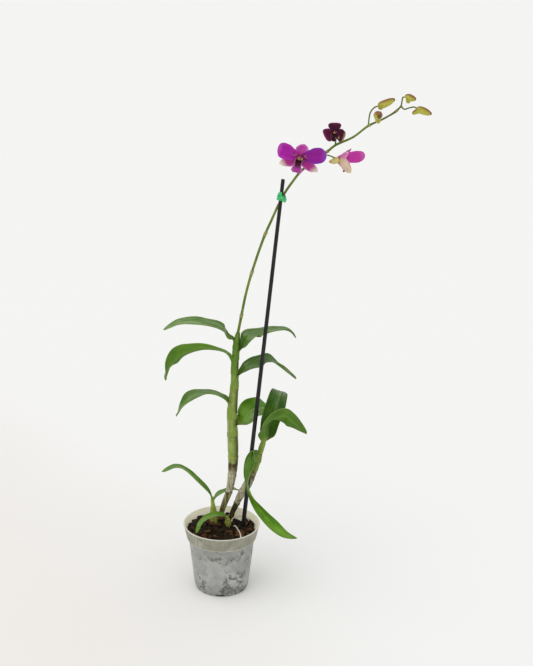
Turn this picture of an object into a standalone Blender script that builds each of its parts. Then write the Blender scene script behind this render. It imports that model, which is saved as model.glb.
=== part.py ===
"""Dendrobium orchid in its clear nursery pot, with stake and tie, in metres.

The pot's bottom centre is the origin, +Z is up, and the flower spike leans towards +X.
A tall cane and a short one rise from the bark with their sheathed leaves, two young
shoots stand beside them, and the spike carries three blooms and four buds.
"""

import math

import bmesh
import bpy
import numpy as np
from mathutils import Matrix, Vector

# Pot: radius and height of the points of its outer face, from the rim down
RIM_RADIUS = 0.0525
POT_HEIGHT = 0.0955
POT_OUTSIDE = ((0.0520, 0.0955), (0.0525, 0.0948), (0.0522, 0.0935), (0.0482, 0.0762),
               (0.0456, 0.0745), (0.0436, 0.0580), (0.0411, 0.0350), (0.0381, 0.0090),
               (0.0367, 0.0030), (0.0345, 0.0))
POT_WALL = 0.0011
POT_SIDES = 32
DRAIN_SLOTS = 6
DRAIN_SLOT = (0.013, 0.010, 0.0030)
DRAIN_RADIUS = 0.0372

# Bark that fills the pot, and the chips on top
CLEARANCE = 0.0004
BARK_TOP = 0.0830
CHIP_COUNT = 25
CHIP_SEED = 7
CHIP_SPREAD = 0.0375

# Canes: points of the middle line with the radius there, from below the bark up
TALL_CANE = ((-0.0040, 0.0370, 0.0640, 0.0032), (-0.0001, 0.0335, 0.0940, 0.0036),
             (0.0041, 0.0290, 0.1110, 0.0042), (0.0096, 0.0250, 0.1283, 0.0047),
             (0.0130, 0.0215, 0.1467, 0.0054), (0.0157, 0.0185, 0.1738, 0.0066),
             (0.0156, 0.0165, 0.2045, 0.0074), (0.0144, 0.0150, 0.2360, 0.0068),
             (0.0147, 0.0140, 0.2597, 0.0068), (0.0173, 0.0125, 0.2934, 0.0054),
             (0.0176, 0.0115, 0.3151, 0.0050), (0.0185, 0.0105, 0.3366, 0.0047),
             (0.0203, 0.0090, 0.3581, 0.0041), (0.0216, 0.0080, 0.3681, 0.0028))
SHORT_CANE = ((0.0125, 0.0355, 0.0640, 0.0034), (0.0150, 0.0333, 0.0930, 0.0036),
              (0.0200, 0.0289, 0.1079, 0.0041), (0.0253, 0.0245, 0.1228, 0.0050),
              (0.0302, 0.0224, 0.1334, 0.0056), (0.0352, 0.0205, 0.1426, 0.0060),
              (0.0406, 0.0186, 0.1561, 0.0056), (0.0440, 0.0170, 0.1660, 0.0050),
              (0.0482, 0.0155, 0.1790, 0.0044), (0.0518, 0.0148, 0.1904, 0.0038),
              (0.0552, 0.0145, 0.2039, 0.0034), (0.0585, 0.0145, 0.2127, 0.0026))
TALL_NODES = (0.118, 0.141, 0.168, 0.196, 0.219, 0.243, 0.287, 0.311, 0.333, 0.349)
SHORT_NODES = (0.112, 0.132, 0.154, 0.180, 0.198)
NODE_SWELL = 0.0004
NODE_HALF_HEIGHT = 0.0016
CANE_STEP = 0.0090

# Leaves: sheath heights on the cane, side that it leaves by in degrees, full width,
# points of the blade's midline and its roll in degrees at even steps to the tip
LEAF_THICKNESS = 0.0009
SHEATH_GAP = 0.0009
MOUTH_WRAP = math.radians(65)
GUTTER_RADIUS = 0.030
LEAF_ROWS = 16
LEAF_COLUMNS = 6
MOUTH_CROWDING = 0.6
LEAVES = {
    "leaf_tall_1_left": dict(
        cane="tall", sheath=(0.346, 0.3575), side=180, width=0.0312,
        blade=((0.0084, 0.0088, 0.3607), (0.0009, 0.0036, 0.3749), (-0.0510, 0.0123, 0.3808),
               (-0.0772, 0.0148, 0.3704)),
        rolls=(-3, -7, -9)),
    "leaf_tall_2_right": dict(
        cane="tall", sheath=(0.330, 0.3415), side=0, width=0.0302,
        blade=((0.0358, 0.0108, 0.3615), (0.0439, 0.0220, 0.3605), (0.0890, 0.0281, 0.3658),
               (0.0995, 0.0266, 0.3557)),
        rolls=(49, 28, 29)),
    "leaf_tall_3_left": dict(
        cane="tall", sheath=(0.311, 0.3265), side=180, width=0.0312,
        blade=((0.0073, 0.0131, 0.3378), (-0.0175, 0.0056, 0.3466), (-0.0520, 0.0042, 0.3413),
               (-0.0662, -0.0053, 0.3305), (-0.0748, -0.0057, 0.3070)),
        rolls=(28, 50, 77, -1)),
    "leaf_tall_4_right": dict(
        cane="tall", sheath=(0.289, 0.3065), side=0, width=0.0272,
        blade=((0.0333, 0.0113, 0.3183), (0.0522, 0.0236, 0.3215), (0.0634, 0.0221, 0.3257),
               (0.1009, 0.0215, 0.2990)),
        rolls=(42, -2, 18)),
    "leaf_tall_5_left": dict(
        cane="tall", sheath=(0.2455, 0.2670), side=185, width=0.026,
        blade=((0.002, 0.0095, 0.2765), (-0.018, 0.005, 0.2845), (-0.043, -0.002, 0.2800),
               (-0.061, -0.011, 0.2580)), rolls=(28, 10, 55)),
    "leaf_tall_6_right": dict(
        cane="tall", sheath=(0.2205, 0.2350), side=15, width=0.0317,
        blade=((0.0317, 0.0184, 0.2424), (0.0391, 0.0322, 0.2495), (0.0538, 0.0461, 0.2484),
               (0.0668, 0.0566, 0.2431)),
        rolls=(46, 57, 38)),
    "leaf_short_1_back": dict(
        cane="short", sheath=(0.2000, 0.2110), side=90, width=0.0285, wrap=78,
        blade=((0.0635, 0.0186, 0.2246), (0.0671, 0.0188, 0.2386), (0.0722, 0.0213, 0.2560),
               (0.0775, 0.0311, 0.2725), (0.0818, 0.0517, 0.2700)), rolls=(-30, -2, -20)),
    "leaf_short_2_front": dict(
        cane="short", sheath=(0.2010, 0.2095), side=-90, width=0.0225, wrap=78,
        blade=((0.0580, 0.0075, 0.2275), (0.0648, -0.0039, 0.2483), (0.0836, -0.0053, 0.2557),
               (0.0917, -0.0129, 0.2527), (0.1135, -0.014, 0.2340)), rolls=(70, -45, 9)),
    "leaf_short_3_hanging": dict(
        cane="short", sheath=(0.1680, 0.1935), side=-110, width=0.0187, wrap=80,
        blade=((0.0483, 0.0039, 0.1873), (0.0429, -0.0051, 0.2072), (0.0384, -0.0064, 0.1872),
               (0.0350, -0.0197, 0.1631), (0.0486, -0.0171, 0.1297), (0.0834, -0.0296, 0.0949),
               (0.1029, -0.0256, 0.0840)), rolls=(-207, -151, -187, -231, -197)),
}
FULL_WRAP = 95

# Young shoots: bulb points with radius, then leaves as midline, width and rolls
SHOOT_THICKNESS = 0.0009
LEFT_BULB = ((-0.0100, 0.0200, 0.0660, 0.0035), (-0.0107, 0.0198, 0.0880, 0.0050),
             (-0.0112, 0.0198, 0.1000, 0.0048), (-0.0122, 0.0198, 0.1140, 0.0030),
             (-0.0132, 0.0199, 0.1250, 0.0020))
LEFT_BULB_LEAVES = (
    dict(blade=((-0.0126, 0.0198, 0.1180), (-0.0160, 0.0190, 0.1300), (-0.0330, 0.0160, 0.1510),
                (-0.0590, 0.0120, 0.1740), (-0.0820, 0.0080, 0.1685)),
         width=0.014, rolls=(0, 2, 20, 13), toward=(1.0, 0.0, 0.3)),
    dict(blade=((-0.0128, 0.0200, 0.1160), (-0.0090, 0.0230, 0.1220), (0.0030, 0.0330, 0.1265),
                (0.0210, 0.0355, 0.1290)),
         width=0.0095, rolls=(0, 30, 30, 13), toward=(-1.0, 0.0, 0.3)))
FRONT_BULB = ((0.0100, 0.0130, 0.0700, 0.0030), (0.0090, 0.0100, 0.0880, 0.0044),
              (0.0085, 0.0088, 0.0950, 0.0036), (0.0070, 0.0080, 0.1010, 0.0020))
FRONT_BULB_LEAVES = (
    dict(blade=((0.0080, 0.0083, 0.0975), (0.0030, 0.0050, 0.1045), (-0.0100, -0.004, 0.1095),
                (-0.0270, -0.018, 0.1060), (-0.0345, -0.030, 0.0950)),
         width=0.0090, rolls=(0, 17, 31, 30), toward=(1.0, 0.5, 0.5)),)

# Stray roots that run over the bark
ROOT_RADIUS = 0.0009
ROOTS = {
    "root_back": ((0.0139, 0.0182, 0.0800), (0.0150, 0.0250, 0.0880), (0.0225, 0.0290, 0.0900),
                  (0.0310, 0.0290, 0.0900), (0.0370, 0.0240, 0.0890), (0.0395, 0.0190, 0.0800)),
    "root_front": ((0.0145, 0.0120, 0.0800), (0.0183, 0.0020, 0.0895), (0.0225, -0.0105, 0.0900),
                   (0.0258, -0.0255, 0.0895), (0.0270, -0.0330, 0.0800)),
}

# Stake, and the tape that ties the spike to it
STAKE_FOOT = (0.0270, 0.0090, 0.0560)
STAKE_TOP = (0.0773, -0.0010, 0.5740)
STAKE_RADII = (0.0030, 0.0024)
STAKE_SIDES = 12
STAKE_CUT = (0.35, 0.0, 1.0)
TIE_HEIGHT = 0.5515
TIE_BAND = 0.0060
TIE_HALF_WIDTH = 0.0052
TIE_SHIFT = 0.0015
TIE_THICKNESS = 0.0008
TIE_STEPS = 16

# Flower spike: middle line with radius, then its joints
SPIKE = ((0.0216, 0.0078, 0.3685, 0.0019), (0.0249, 0.0068, 0.3867, 0.0018),
         (0.0315, 0.0062, 0.4216, 0.0017), (0.0388, 0.0060, 0.4500, 0.0017),
         (0.0544, 0.0058, 0.4981, 0.0017), (0.0639, 0.0055, 0.5207, 0.0016),
         (0.0710, 0.0052, 0.5374, 0.0016), (0.0803, 0.0052, 0.5558, 0.0016),
         (0.0898, 0.0056, 0.5698, 0.0016), (0.1004, 0.0060, 0.5832, 0.0016),
         (0.1317, 0.0060, 0.6070, 0.0015), (0.1421, 0.0060, 0.6154, 0.0015),
         (0.1645, 0.0060, 0.6259, 0.0014), (0.1829, 0.0060, 0.6398, 0.0013),
         (0.1999, 0.0060, 0.6477, 0.0012), (0.2160, 0.0060, 0.6574, 0.0012),
         (0.2225, 0.0060, 0.6640, 0.0012))
SPIKE_NODES = (0.3900, 0.4480, 0.4995)
SPIKE_STEP = 0.0140
PEDICEL_RADIUS = 0.0009

# Chin behind a bloom's heart: points with radius, short or long and stout
SHORT_CHIN = ((0.0, 0.0004, -0.0008, 0.0034), (0.0, -0.0025, -0.0022, 0.0034),
              (0.0, -0.0058, -0.0060, 0.0026), (0.0, -0.0082, -0.0092, 0.0010))
STOUT_CHIN = ((0.0, 0.0004, -0.0008, 0.0036), (0.0, -0.0020, -0.0040, 0.0042),
              (0.0, -0.0036, -0.0088, 0.0032), (0.0, -0.0042, -0.0130, 0.0012))

# Blooms: centre, the way each faces, its upright, size and how far the tepals cup forward
BLOOMS = {
    "bloom_1": dict(centre=(0.0973, -0.0190, 0.6048), facing=(-0.28, -0.92, -0.24),
                    upright=(0.16, 0.0, 1.0), size=1.0, cup=0, chin=SHORT_CHIN, lip_width=1.0,
                    stalk_from=(0.1130, 0.0060, 0.5928), tepals={}),
    "bloom_2": dict(centre=(0.1455, -0.0060, 0.6000), facing=(0.88, 0.42, -0.14),
                    upright=(0.20, 0.0, 1.0), size=0.95, cup=56, chin=STOUT_CHIN, lip_width=0.5,
                    stalk_from=(0.1250, 0.0060, 0.6020),
                    tepals={"dorsal": (100, 0.0148, 0.0140, 0, -10, "sepal"),
                            "petal_right": (28, 0.0330, 0.0155, 6, -10, "petal"),
                            "petal_left": (146, 0.0340, 0.0165, 6, -10, "petal"),
                            "sepal_right": (314, 0.0235, 0.0150, -6, -10, "sepal"),
                            "sepal_left": (224, 0.0228, 0.0184, -14, -6, "sepal")}),
    "bloom_3": dict(centre=(0.1405, -0.0070, 0.6345), facing=(-0.36, -0.88, -0.31),
                    upright=(0.05, 0.0, 1.0), size=0.62, cup=30, chin=SHORT_CHIN, lip_width=0.8,
                    stalk_from=(0.1425, 0.0075, 0.6155),
                    tepals={"dorsal": (95, 0.0160, 0.0284, -30, -38, "petal"),
                            "petal_right": (-17, 0.0210, 0.0300, -8, -20, "petal"),
                            "petal_left": (203, 0.0228, 0.0296, -8, -20, "petal"),
                            "sepal_right": (300, 0.0145, 0.0110, -8, -10, "sepal"),
                            "sepal_left": (246, 0.0140, 0.0110, -8, -10, "sepal")}),
}
TEPAL_THICKNESS = 0.0007
# name: direction in the face, length, width, tilt forward, curl along it, widest place
TEPALS = {
    "dorsal": (87, 0.0158, 0.0172, -30, -24, "sepal"),
    "petal_right": (17, 0.0308, 0.0216, 4, -14, "petal"),
    "petal_left": (168, 0.0288, 0.0222, 4, -14, "petal"),
    "sepal_right": (320, 0.0286, 0.0148, -6, -16, "sepal"),
    "sepal_left": (214, 0.0312, 0.0146, -6, -12, "sepal"),
}
TEPAL_START = 0.0018
COLUMN = ((0.0, 0.0, -0.0030, 0.0024), (0.0, 0.0, 0.0030, 0.0023), (0.0, 0.0003, 0.0065, 0.0021),
          (0.0, 0.0, 0.0080, 0.0012))
OVARY = ((0.0, 0.0, -0.0005, 0.0017), (0.0, 0.0008, -0.0040, 0.0014),
         (0.0, 0.0018, -0.0075, 0.0011))
LIP_PATH = ((0.0, -0.0032, 0.0026), (0.0, -0.0040, 0.0060), (0.0, -0.0062, 0.0100),
            (0.0, -0.0100, 0.0126), (0.0, -0.0138, 0.0126), (0.0, -0.0165, 0.0112))
LIP_HALF_WIDTHS = (0.0016, 0.0062, 0.0050, 0.0042, 0.0064, 0.0060, 0.0022)
LIP_RADII = (0.0036, 0.0040, 0.0052, 0.0080, 0.0140, 0.0180, 0.0200)

# Buds: middle line of the body from neck to tip, its girth, its chin, and its stalk
BUD_PROFILE = (0.26, 0.76, 1.0, 0.98, 0.76, 0.30)
BUDS = {
    "bud_1": dict(body=((0.1934, 0.0040, 0.6643), (0.1956, 0.0040, 0.6652), (0.1995, 0.0040, 0.6662),
                        (0.2045, 0.0040, 0.6682), (0.2098, 0.0040, 0.6708), (0.2140, 0.0040, 0.6727)),
                  girth=0.0048, chin=((0.1975, 0.0040, 0.6640), (0.1955, 0.0040, 0.6600)),
                  stalk=((0.1829, 0.0060, 0.6398), (0.1830, 0.0050, 0.6472), (0.1843, 0.0040, 0.6562),
                         (0.1885, 0.0040, 0.6621))),
    "bud_2": dict(body=((0.1935, 0.0006, 0.6505), (0.1932, -0.0012, 0.6522), (0.1927, -0.0048, 0.6537),
                        (0.1926, -0.0092, 0.6545), (0.1930, -0.0132, 0.6540), (0.1934, -0.0165, 0.6530)),
                  girth=0.0055, chin=((0.1930, -0.0035, 0.6512), (0.1938, -0.0035, 0.6440)),
                  stalk=((0.1935, 0.0060, 0.6446), (0.1938, 0.0050, 0.6484))),
    "bud_3": dict(body=((0.2262, 0.0050, 0.6752), (0.2282, 0.0045, 0.6756), (0.2308, 0.0040, 0.6750),
                        (0.2340, 0.0030, 0.6740), (0.2370, 0.0020, 0.6734), (0.2396, 0.0010, 0.6730)),
                  girth=0.0043, chin=((0.2305, 0.0040, 0.6725), (0.2308, 0.0040, 0.6675)),
                  stalk=((0.2225, 0.0060, 0.6640), (0.2232, 0.0060, 0.6696))),
    "bud_4": dict(body=((0.2416, 0.0060, 0.6618), (0.2436, 0.0060, 0.6608), (0.2470, 0.0060, 0.6592),
                        (0.2520, 0.0060, 0.6574), (0.2566, 0.0060, 0.6556), (0.2606, 0.0060, 0.6544)),
                  girth=0.0046, chin=((0.2440, 0.0060, 0.6585), (0.2368, 0.0060, 0.6546)),
                  stalk=((0.2225, 0.0060, 0.6640), (0.2262, 0.0060, 0.6602), (0.2330, 0.0060, 0.6620))),
}

COLOURS = {
    "clear_plastic": ((0.42, 0.43, 0.42), 0.35),
    "bark": ((0.060, 0.032, 0.022), 0.9),
    "cane": ((0.23, 0.28, 0.10), 0.5),
    "leaf": ((0.075, 0.19, 0.035), 0.42),
    "root": ((0.60, 0.56, 0.42), 0.8),
    "stake_coat": ((0.012, 0.010, 0.014), 0.35),
    "tape": ((0.06, 0.48, 0.20), 0.45),
    "spike": ((0.16, 0.22, 0.03), 0.5),
    "petal": ((0.36, 0.02, 0.32), 0.55),
    "dark_petal": ((0.10, 0.005, 0.04), 0.55),
    "lip": ((0.10, 0.006, 0.06), 0.5),
    "bud": ((0.42, 0.40, 0.10), 0.5),
}


def clear_scene():
    """Empties the scene that the script starts in."""
    for item in list(bpy.data.objects):
        bpy.data.objects.remove(item, do_unlink=True)


def make_collection(name):
    group = bpy.data.collections.new(name)
    bpy.context.scene.collection.children.link(group)
    return group


def make_material(name):
    """A Principled material from the table of colours."""
    colour, roughness = COLOURS[name]
    material = bpy.data.materials.new(name)
    material.use_nodes = True
    shader = material.node_tree.nodes["Principled BSDF"]
    shader.inputs["Base Color"].default_value = (*colour, 1.0)
    shader.inputs["Roughness"].default_value = roughness
    shader.inputs["Metallic"].default_value = 0.0
    return material


def unit(vectors):
    return vectors / np.linalg.norm(vectors, axis=-1, keepdims=True)


def smoothstep(x):
    x = np.clip(x, 0.0, 1.0)
    return x * x * (3 - 2 * x)


def smooth_curve(points, count, shares=None):
    """A Hermite curve through the points, read again at even steps along its length,
    or at the given shares of it."""
    knots = np.asarray(points, float)
    gaps = np.linalg.norm(np.diff(knots[:, :3], axis=0), axis=1) ** 0.5
    times = np.concatenate([[0], np.cumsum(gaps)])
    slopes = np.gradient(knots, times, axis=0)
    place = np.linspace(0, len(knots) - 1, 20 * (len(knots) - 1) + 1)
    i = np.minimum(place.astype(int), len(knots) - 2)
    u = (place - i)[:, None]
    span = gaps[i][:, None]
    fine = ((2 * u**3 - 3 * u**2 + 1) * knots[i] + (u**3 - 2 * u**2 + u) * span * slopes[i]
            + (3 * u**2 - 2 * u**3) * knots[i + 1] + (u**3 - u**2) * span * slopes[i + 1])
    steps = np.linalg.norm(np.diff(fine[:, :3], axis=0), axis=1)
    along = np.concatenate([[0], np.cumsum(steps)])
    wanted = along[-1] * (np.linspace(0, 1, count) if shares is None else shares)
    return np.stack([np.interp(wanted, along, column) for column in fine.T], axis=1)


def strip_grid(path, toward, rolls, half_widths, radii, columns):
    """A strip swept along a path: each row is an arc of a given half length and radius.

    The rows' upper side starts out facing the direction toward, is carried along without
    twist, and is then turned by the roll in radians.
    """
    tangents = unit(np.gradient(path, axis=0))
    normals = np.zeros_like(path)
    carried = np.asarray(toward, float)
    for i, tangent in enumerate(tangents):
        carried = unit(carried - tangent * (carried @ tangent))
        normals[i] = carried
    sideways = np.cross(normals, tangents)
    cosine, sine = np.cos(rolls)[:, None], np.sin(rolls)[:, None]
    across = sideways * cosine + normals * sine
    upward = normals * cosine - sideways * sine
    arc = np.linspace(-1, 1, columns)[None, :] * half_widths[:, None]
    angle = arc / radii[:, None]
    out = (np.sin(angle) * radii[:, None])[..., None]
    rise = ((1 - np.cos(angle)) * radii[:, None])[..., None]
    return path[:, None] + across[:, None] * out + upward[:, None] * rise


def sheet_mesh(name, grid):
    """A grid primitive bent to the points of an array, cut into triangles."""
    rows, columns = grid.shape[:2]
    bm = bmesh.new()
    bmesh.ops.create_grid(bm, x_segments=rows - 1, y_segments=columns - 1, size=1)
    for vertex in bm.verts:
        i = round((vertex.co.x + 1) / 2 * (rows - 1))
        j = round((vertex.co.y + 1) / 2 * (columns - 1))
        vertex.co = grid[i, j]
    bmesh.ops.triangulate(bm, faces=bm.faces)
    mesh = bpy.data.meshes.new(name)
    bm.to_mesh(mesh)
    bm.free()
    return mesh


def add_object(name, data, group, material=None):
    item = bpy.data.objects.new(name, data)
    group.objects.link(item)
    if material is not None:
        data.materials.append(material)
    return item


def solid_sheet(name, grid, thickness, group, material=None):
    """An open sheet given its thickness, half to each side."""
    item = add_object(name, sheet_mesh(name, grid), group, material)
    shell = item.modifiers.new("thickness", "SOLIDIFY")
    shell.thickness = thickness
    shell.offset = 0.0
    return item


def evaluated_copy(item, name, group, material=None):
    """A plain mesh object of what an object looks like with its modifiers."""
    view = item.evaluated_get(bpy.context.evaluated_depsgraph_get())
    mesh = bpy.data.meshes.new_from_object(view)
    mesh.name = name
    mesh.materials.clear()
    copy = add_object(name, mesh, group, material)
    copy.matrix_world = item.matrix_world.copy()
    return copy


def tube(name, points, radii, group, material=None, resolution=4):
    """A round stem through points with a radius at each, as a welded mesh."""
    curve = bpy.data.curves.new(name + "_line", "CURVE")
    curve.dimensions = "3D"
    curve.bevel_depth = 0.001
    curve.bevel_resolution = resolution
    curve.use_fill_caps = True
    spline = curve.splines.new("POLY")
    spline.points.add(len(points) - 1)
    for knot, point, radius in zip(spline.points, points, radii):
        knot.co = (*point, 1.0)
        knot.radius = radius / curve.bevel_depth
    line = add_object(name + "_line", curve, group)
    bpy.context.view_layer.update()
    stem = evaluated_copy(line, name, group, material)
    bpy.data.objects.remove(line, do_unlink=True)
    bm = bmesh.new()
    bm.from_mesh(stem.data)
    bmesh.ops.remove_doubles(bm, verts=bm.verts, dist=1e-6)
    bm.to_mesh(stem.data)
    bm.free()
    return stem


def keep_largest_body(mesh):
    """Drops loose scraps, keeping the body with the most faces; tells if it is closed."""
    bm = bmesh.new()
    bm.from_mesh(mesh)
    left = set(bm.faces)
    bodies = []
    while left:
        body, edge = set(), [left.pop()]
        while edge:
            face = edge.pop()
            body.add(face)
            near = {f for e in face.edges for f in e.link_faces} & left
            left -= near
            edge.extend(near)
        bodies.append(body)
    bodies.sort(key=len)
    scraps = [face for body in bodies[:-1] for face in body]
    bmesh.ops.delete(bm, geom=scraps, context="FACES")
    bmesh.ops.triangulate(bm, faces=bm.faces)
    closed = all(edge.is_manifold for edge in bm.edges)
    bm.to_mesh(mesh)
    bm.free()
    return closed


def combine(name, base, others, operation, group, material):
    """One Boolean of a base with every object in a list, applied; the pieces go away.

    The exact solver is used, or the manifold one where that leaves an open edge.
    """
    helpers = make_collection(name + "_pieces")
    for item in others:
        for owner in list(item.users_collection):
            owner.objects.unlink(item)
        helpers.objects.link(item)
        item.display_type = "WIRE"
        item.hide_render = True
    join = base.modifiers.new("join", "BOOLEAN")
    join.operation = operation
    join.operand_type = "COLLECTION"
    join.collection = helpers
    whole = None
    for solver in ("EXACT", "MANIFOLD"):
        if whole is not None:
            bpy.data.objects.remove(whole, do_unlink=True)
        join.solver = solver
        bpy.context.view_layer.update()
        whole = evaluated_copy(base, name, group, material)
        if keep_largest_body(whole.data):
            break
    for item in [base, *others]:
        bpy.data.objects.remove(item, do_unlink=True)
    bpy.data.collections.remove(helpers)
    whole.name = name
    return whole


def shade(item, angle=math.radians(40)):
    """Smooth shading that keeps the sharp edges."""
    item.data.shade_smooth()
    item.data.set_sharp_from_angle(angle=angle)


def cane_line(cane, nodes):
    """Points and radii of a cane, evenly along it, with its joint rings swelling out."""
    length = np.linalg.norm(np.diff(np.array(cane)[:, :3], axis=0), axis=1).sum()
    line = smooth_curve(cane, int(length / CANE_STEP))
    points, radii = line[:, :3], line[:, 3].copy()
    for height in nodes:
        radii += NODE_SWELL * np.exp(-((points[:, 2] - height) / NODE_HALF_HEIGHT) ** 2)
    return points, radii


def cane_at(cane, height):
    """Middle and radius of a cane at a height."""
    line = smooth_curve(cane, 200)
    return np.array([np.interp(height, line[:, 2], column) for column in line.T])


def blade_outline(s):
    """Half width of a leaf along its blade, as a share of the fullest: narrow at the
    mouth of the sheath, widest before the middle, then falling to a blunt tip."""
    widest, mouth = 0.45, 0.55
    rise = 1 - (1 - mouth) * (1 - np.minimum(s / widest, 1)) ** 2
    fall = np.sqrt(1 - 0.985 * np.clip((s - widest) / (1 - widest), 0, 1) ** 2.6)
    return rise * fall


def leaf_grid(leaf, rows, columns):
    """The sheath clasps the cane and opens at its mouth into a shallow gutter blade."""
    cane = TALL_CANE if leaf["cane"] == "tall" else SHORT_CANE
    side = math.radians(leaf["side"])
    outward = np.array([math.cos(side), math.sin(side), 0.0])
    clasp = SHEATH_GAP + LEAF_THICKNESS / 2
    foot = [cane_at(cane, height) for height in np.linspace(*leaf["sheath"], 3)]
    sheath = [middle[:3] + outward * (middle[3] + clasp) for middle in foot]
    radius = max(middle[3] for middle in foot) + clasp
    even = np.linspace(0, 1, rows)
    path = smooth_curve(np.vstack([sheath, leaf["blade"]]), rows,
                        even + MOUTH_CROWDING * even * (even - 1) * (1 - even * 0.5))
    along = np.concatenate([[0], np.cumsum(np.linalg.norm(np.diff(path, axis=0), axis=1))])
    mouth = np.linalg.norm(np.diff(sheath, axis=0), axis=1).sum()
    s = np.clip((along - mouth) / (along[-1] - mouth), 0, 1)
    rolls = np.interp(s, np.linspace(0, 1, len(leaf["rolls"]) + 1), (0, *leaf["rolls"]))
    opening = smoothstep(s / 0.14)
    wrap = math.radians(leaf.get("wrap", FULL_WRAP))
    wrap = wrap + (MOUTH_WRAP - wrap) * np.clip(along / mouth, 0, 1)
    half = (1 - opening) * wrap * radius + opening * leaf["width"] / 2 * blade_outline(s)
    bend = (1 - opening) / radius + opening / GUTTER_RADIUS
    return strip_grid(path, -outward, np.radians(rolls), half, 1 / bend, columns)


def build_leaf(name, leaf, group, material):
    grid = leaf_grid(leaf, LEAF_ROWS, LEAF_COLUMNS)
    item = solid_sheet(name, grid, LEAF_THICKNESS, group, material)
    shade(item)


def build_pot(group, material):
    """A turned shell with a collar under its rim and slots round its foot."""
    outside = list(POT_OUTSIDE)
    inside = [(r - POT_WALL, z) for r, z in reversed(outside[1:-1])]
    inside = [(r, max(z, POT_WALL)) for r, z in inside]
    profile = [(0.0, POT_WALL), (outside[-1][0], POT_WALL), *inside,
               (RIM_RADIUS - POT_WALL, POT_HEIGHT - 0.0004), *outside, (0.0, 0.0)]
    mesh = bpy.data.meshes.new("pot_profile")
    mesh.from_pydata([(r, 0, z) for r, z in profile], [(i, i + 1) for i in range(len(profile) - 1)], [])
    turned = add_object("pot_turned", mesh, group)
    screw = turned.modifiers.new("turn", "SCREW")
    screw.steps = screw.render_steps = POT_SIDES
    screw.use_merge_vertices = True
    screw.merge_threshold = 1e-5
    slots = []
    for k in range(DRAIN_SLOTS):
        angle = math.radians(-94 + k * 360 / DRAIN_SLOTS)
        bpy.ops.mesh.primitive_cube_add(size=1)
        slot = bpy.context.active_object
        slot.data.transform(Matrix.Diagonal((*DRAIN_SLOT, 1.0)))
        slot.matrix_world = (Matrix.Rotation(angle + math.pi / 2, 4, "Z")
                             @ Matrix.Translation((0, -DRAIN_RADIUS, DRAIN_SLOT[2] * 0.66)))
        slots.append(slot)
    pot = combine("pot", turned, slots, "DIFFERENCE", group, material)
    shade(pot, math.radians(30))


def bark_chip(rng, index, group):
    """One irregular slab of bark, tilted where it lies."""
    bpy.ops.mesh.primitive_cube_add(size=1)
    chip = bpy.context.active_object
    chip.name = f"chip_{index}"
    size = (rng.uniform(0.009, 0.019), rng.uniform(0.006, 0.011), rng.uniform(0.003, 0.006))
    chip.data.transform(Matrix.Diagonal((*size, 1.0)))
    for vertex in chip.data.vertices:
        vertex.co *= rng.uniform(0.78, 1.12)
    radius = CHIP_SPREAD * math.sqrt((index + 0.5) / CHIP_COUNT)
    angle = index * math.radians(137.5) + rng.uniform(-0.2, 0.2)
    place = Matrix.Translation((radius * math.cos(angle), radius * math.sin(angle),
                                BARK_TOP + rng.uniform(-0.0005, 0.0022)))
    turn = (Matrix.Rotation(rng.uniform(0, math.tau), 4, "Z")
            @ Matrix.Rotation(rng.uniform(-0.35, 0.35), 4, "X")
            @ Matrix.Rotation(rng.uniform(-0.3, 0.3), 4, "Y"))
    chip.matrix_world = place @ turn
    return chip


def build_bark(group, material, stems):
    """A turned plug that fills the pot, chips fused on top, plain holes for the stems."""
    gap = POT_WALL + CLEARANCE
    sides = [(r - gap, z) for r, z in POT_OUTSIDE[4:-2] if z < BARK_TOP]
    profile = [(0.0, BARK_TOP), (0.0475 - gap, BARK_TOP), *sides,
               (POT_OUTSIDE[-1][0], gap + 0.0002), (0.0, gap + 0.0002)]
    mesh = bpy.data.meshes.new("bark_profile")
    mesh.from_pydata([(r, 0, z) for r, z in profile], [(i, i + 1) for i in range(len(profile) - 1)], [])
    plug = add_object("bark_plug", mesh, group)
    screw = plug.modifiers.new("turn", "SCREW")
    screw.steps = screw.render_steps = POT_SIDES
    screw.use_merge_vertices = True
    screw.merge_threshold = 1e-5
    rng = np.random.default_rng(CHIP_SEED)
    chips = [bark_chip(rng, k, group) for k in range(CHIP_COUNT)]
    heap = combine("bark_heap", plug, chips, "UNION", group, None)
    bark = combine("bark_medium", heap, stems, "DIFFERENCE", group, material)
    shade(bark, math.radians(25))


def stem_hole(name, points, radii, group, top=0.120):
    """A cutter that follows the buried end of a stem with the clearance all round."""
    keep = [i for i, point in enumerate(points) if point[2] < top]
    line = [np.array(points[i]) for i in keep]
    wide = [radii[i] + CLEARANCE for i in keep]
    line[0] = line[0] + unit(line[0] - line[1]) * CLEARANCE
    if points[-1][2] < top:
        line[-1] = line[-1] + unit(line[-1] - line[-2]) * CLEARANCE
    return tube(name + "_hole", line, wide, group, resolution=3)


def tilted_disc_frame(start, end):
    """A matrix at start whose Z axis runs to end."""
    direction = Vector(end) - Vector(start)
    turn = direction.to_track_quat("Z", "Y").to_matrix().to_4x4()
    return Matrix.Translation(start) @ turn, direction.length


def build_stake(group, material):
    """A coated wire stake with a slanting cut at its top."""
    frame, length = tilted_disc_frame(STAKE_FOOT, STAKE_TOP)
    bm = bmesh.new()
    bmesh.ops.create_cone(bm, cap_ends=True, segments=STAKE_SIDES, radius1=STAKE_RADII[0],
                          radius2=STAKE_RADII[1], depth=length)
    for vertex in bm.verts:
        if vertex.co.z > 0:
            vertex.co.z -= vertex.co.x * STAKE_CUT[0] / STAKE_CUT[2]
    mesh = bpy.data.meshes.new("stake")
    bm.to_mesh(mesh)
    bm.free()
    stake = add_object("stake", mesh, group, material)
    stake.matrix_world = frame @ Matrix.Translation((0, 0, length / 2))
    shade(stake)


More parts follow.
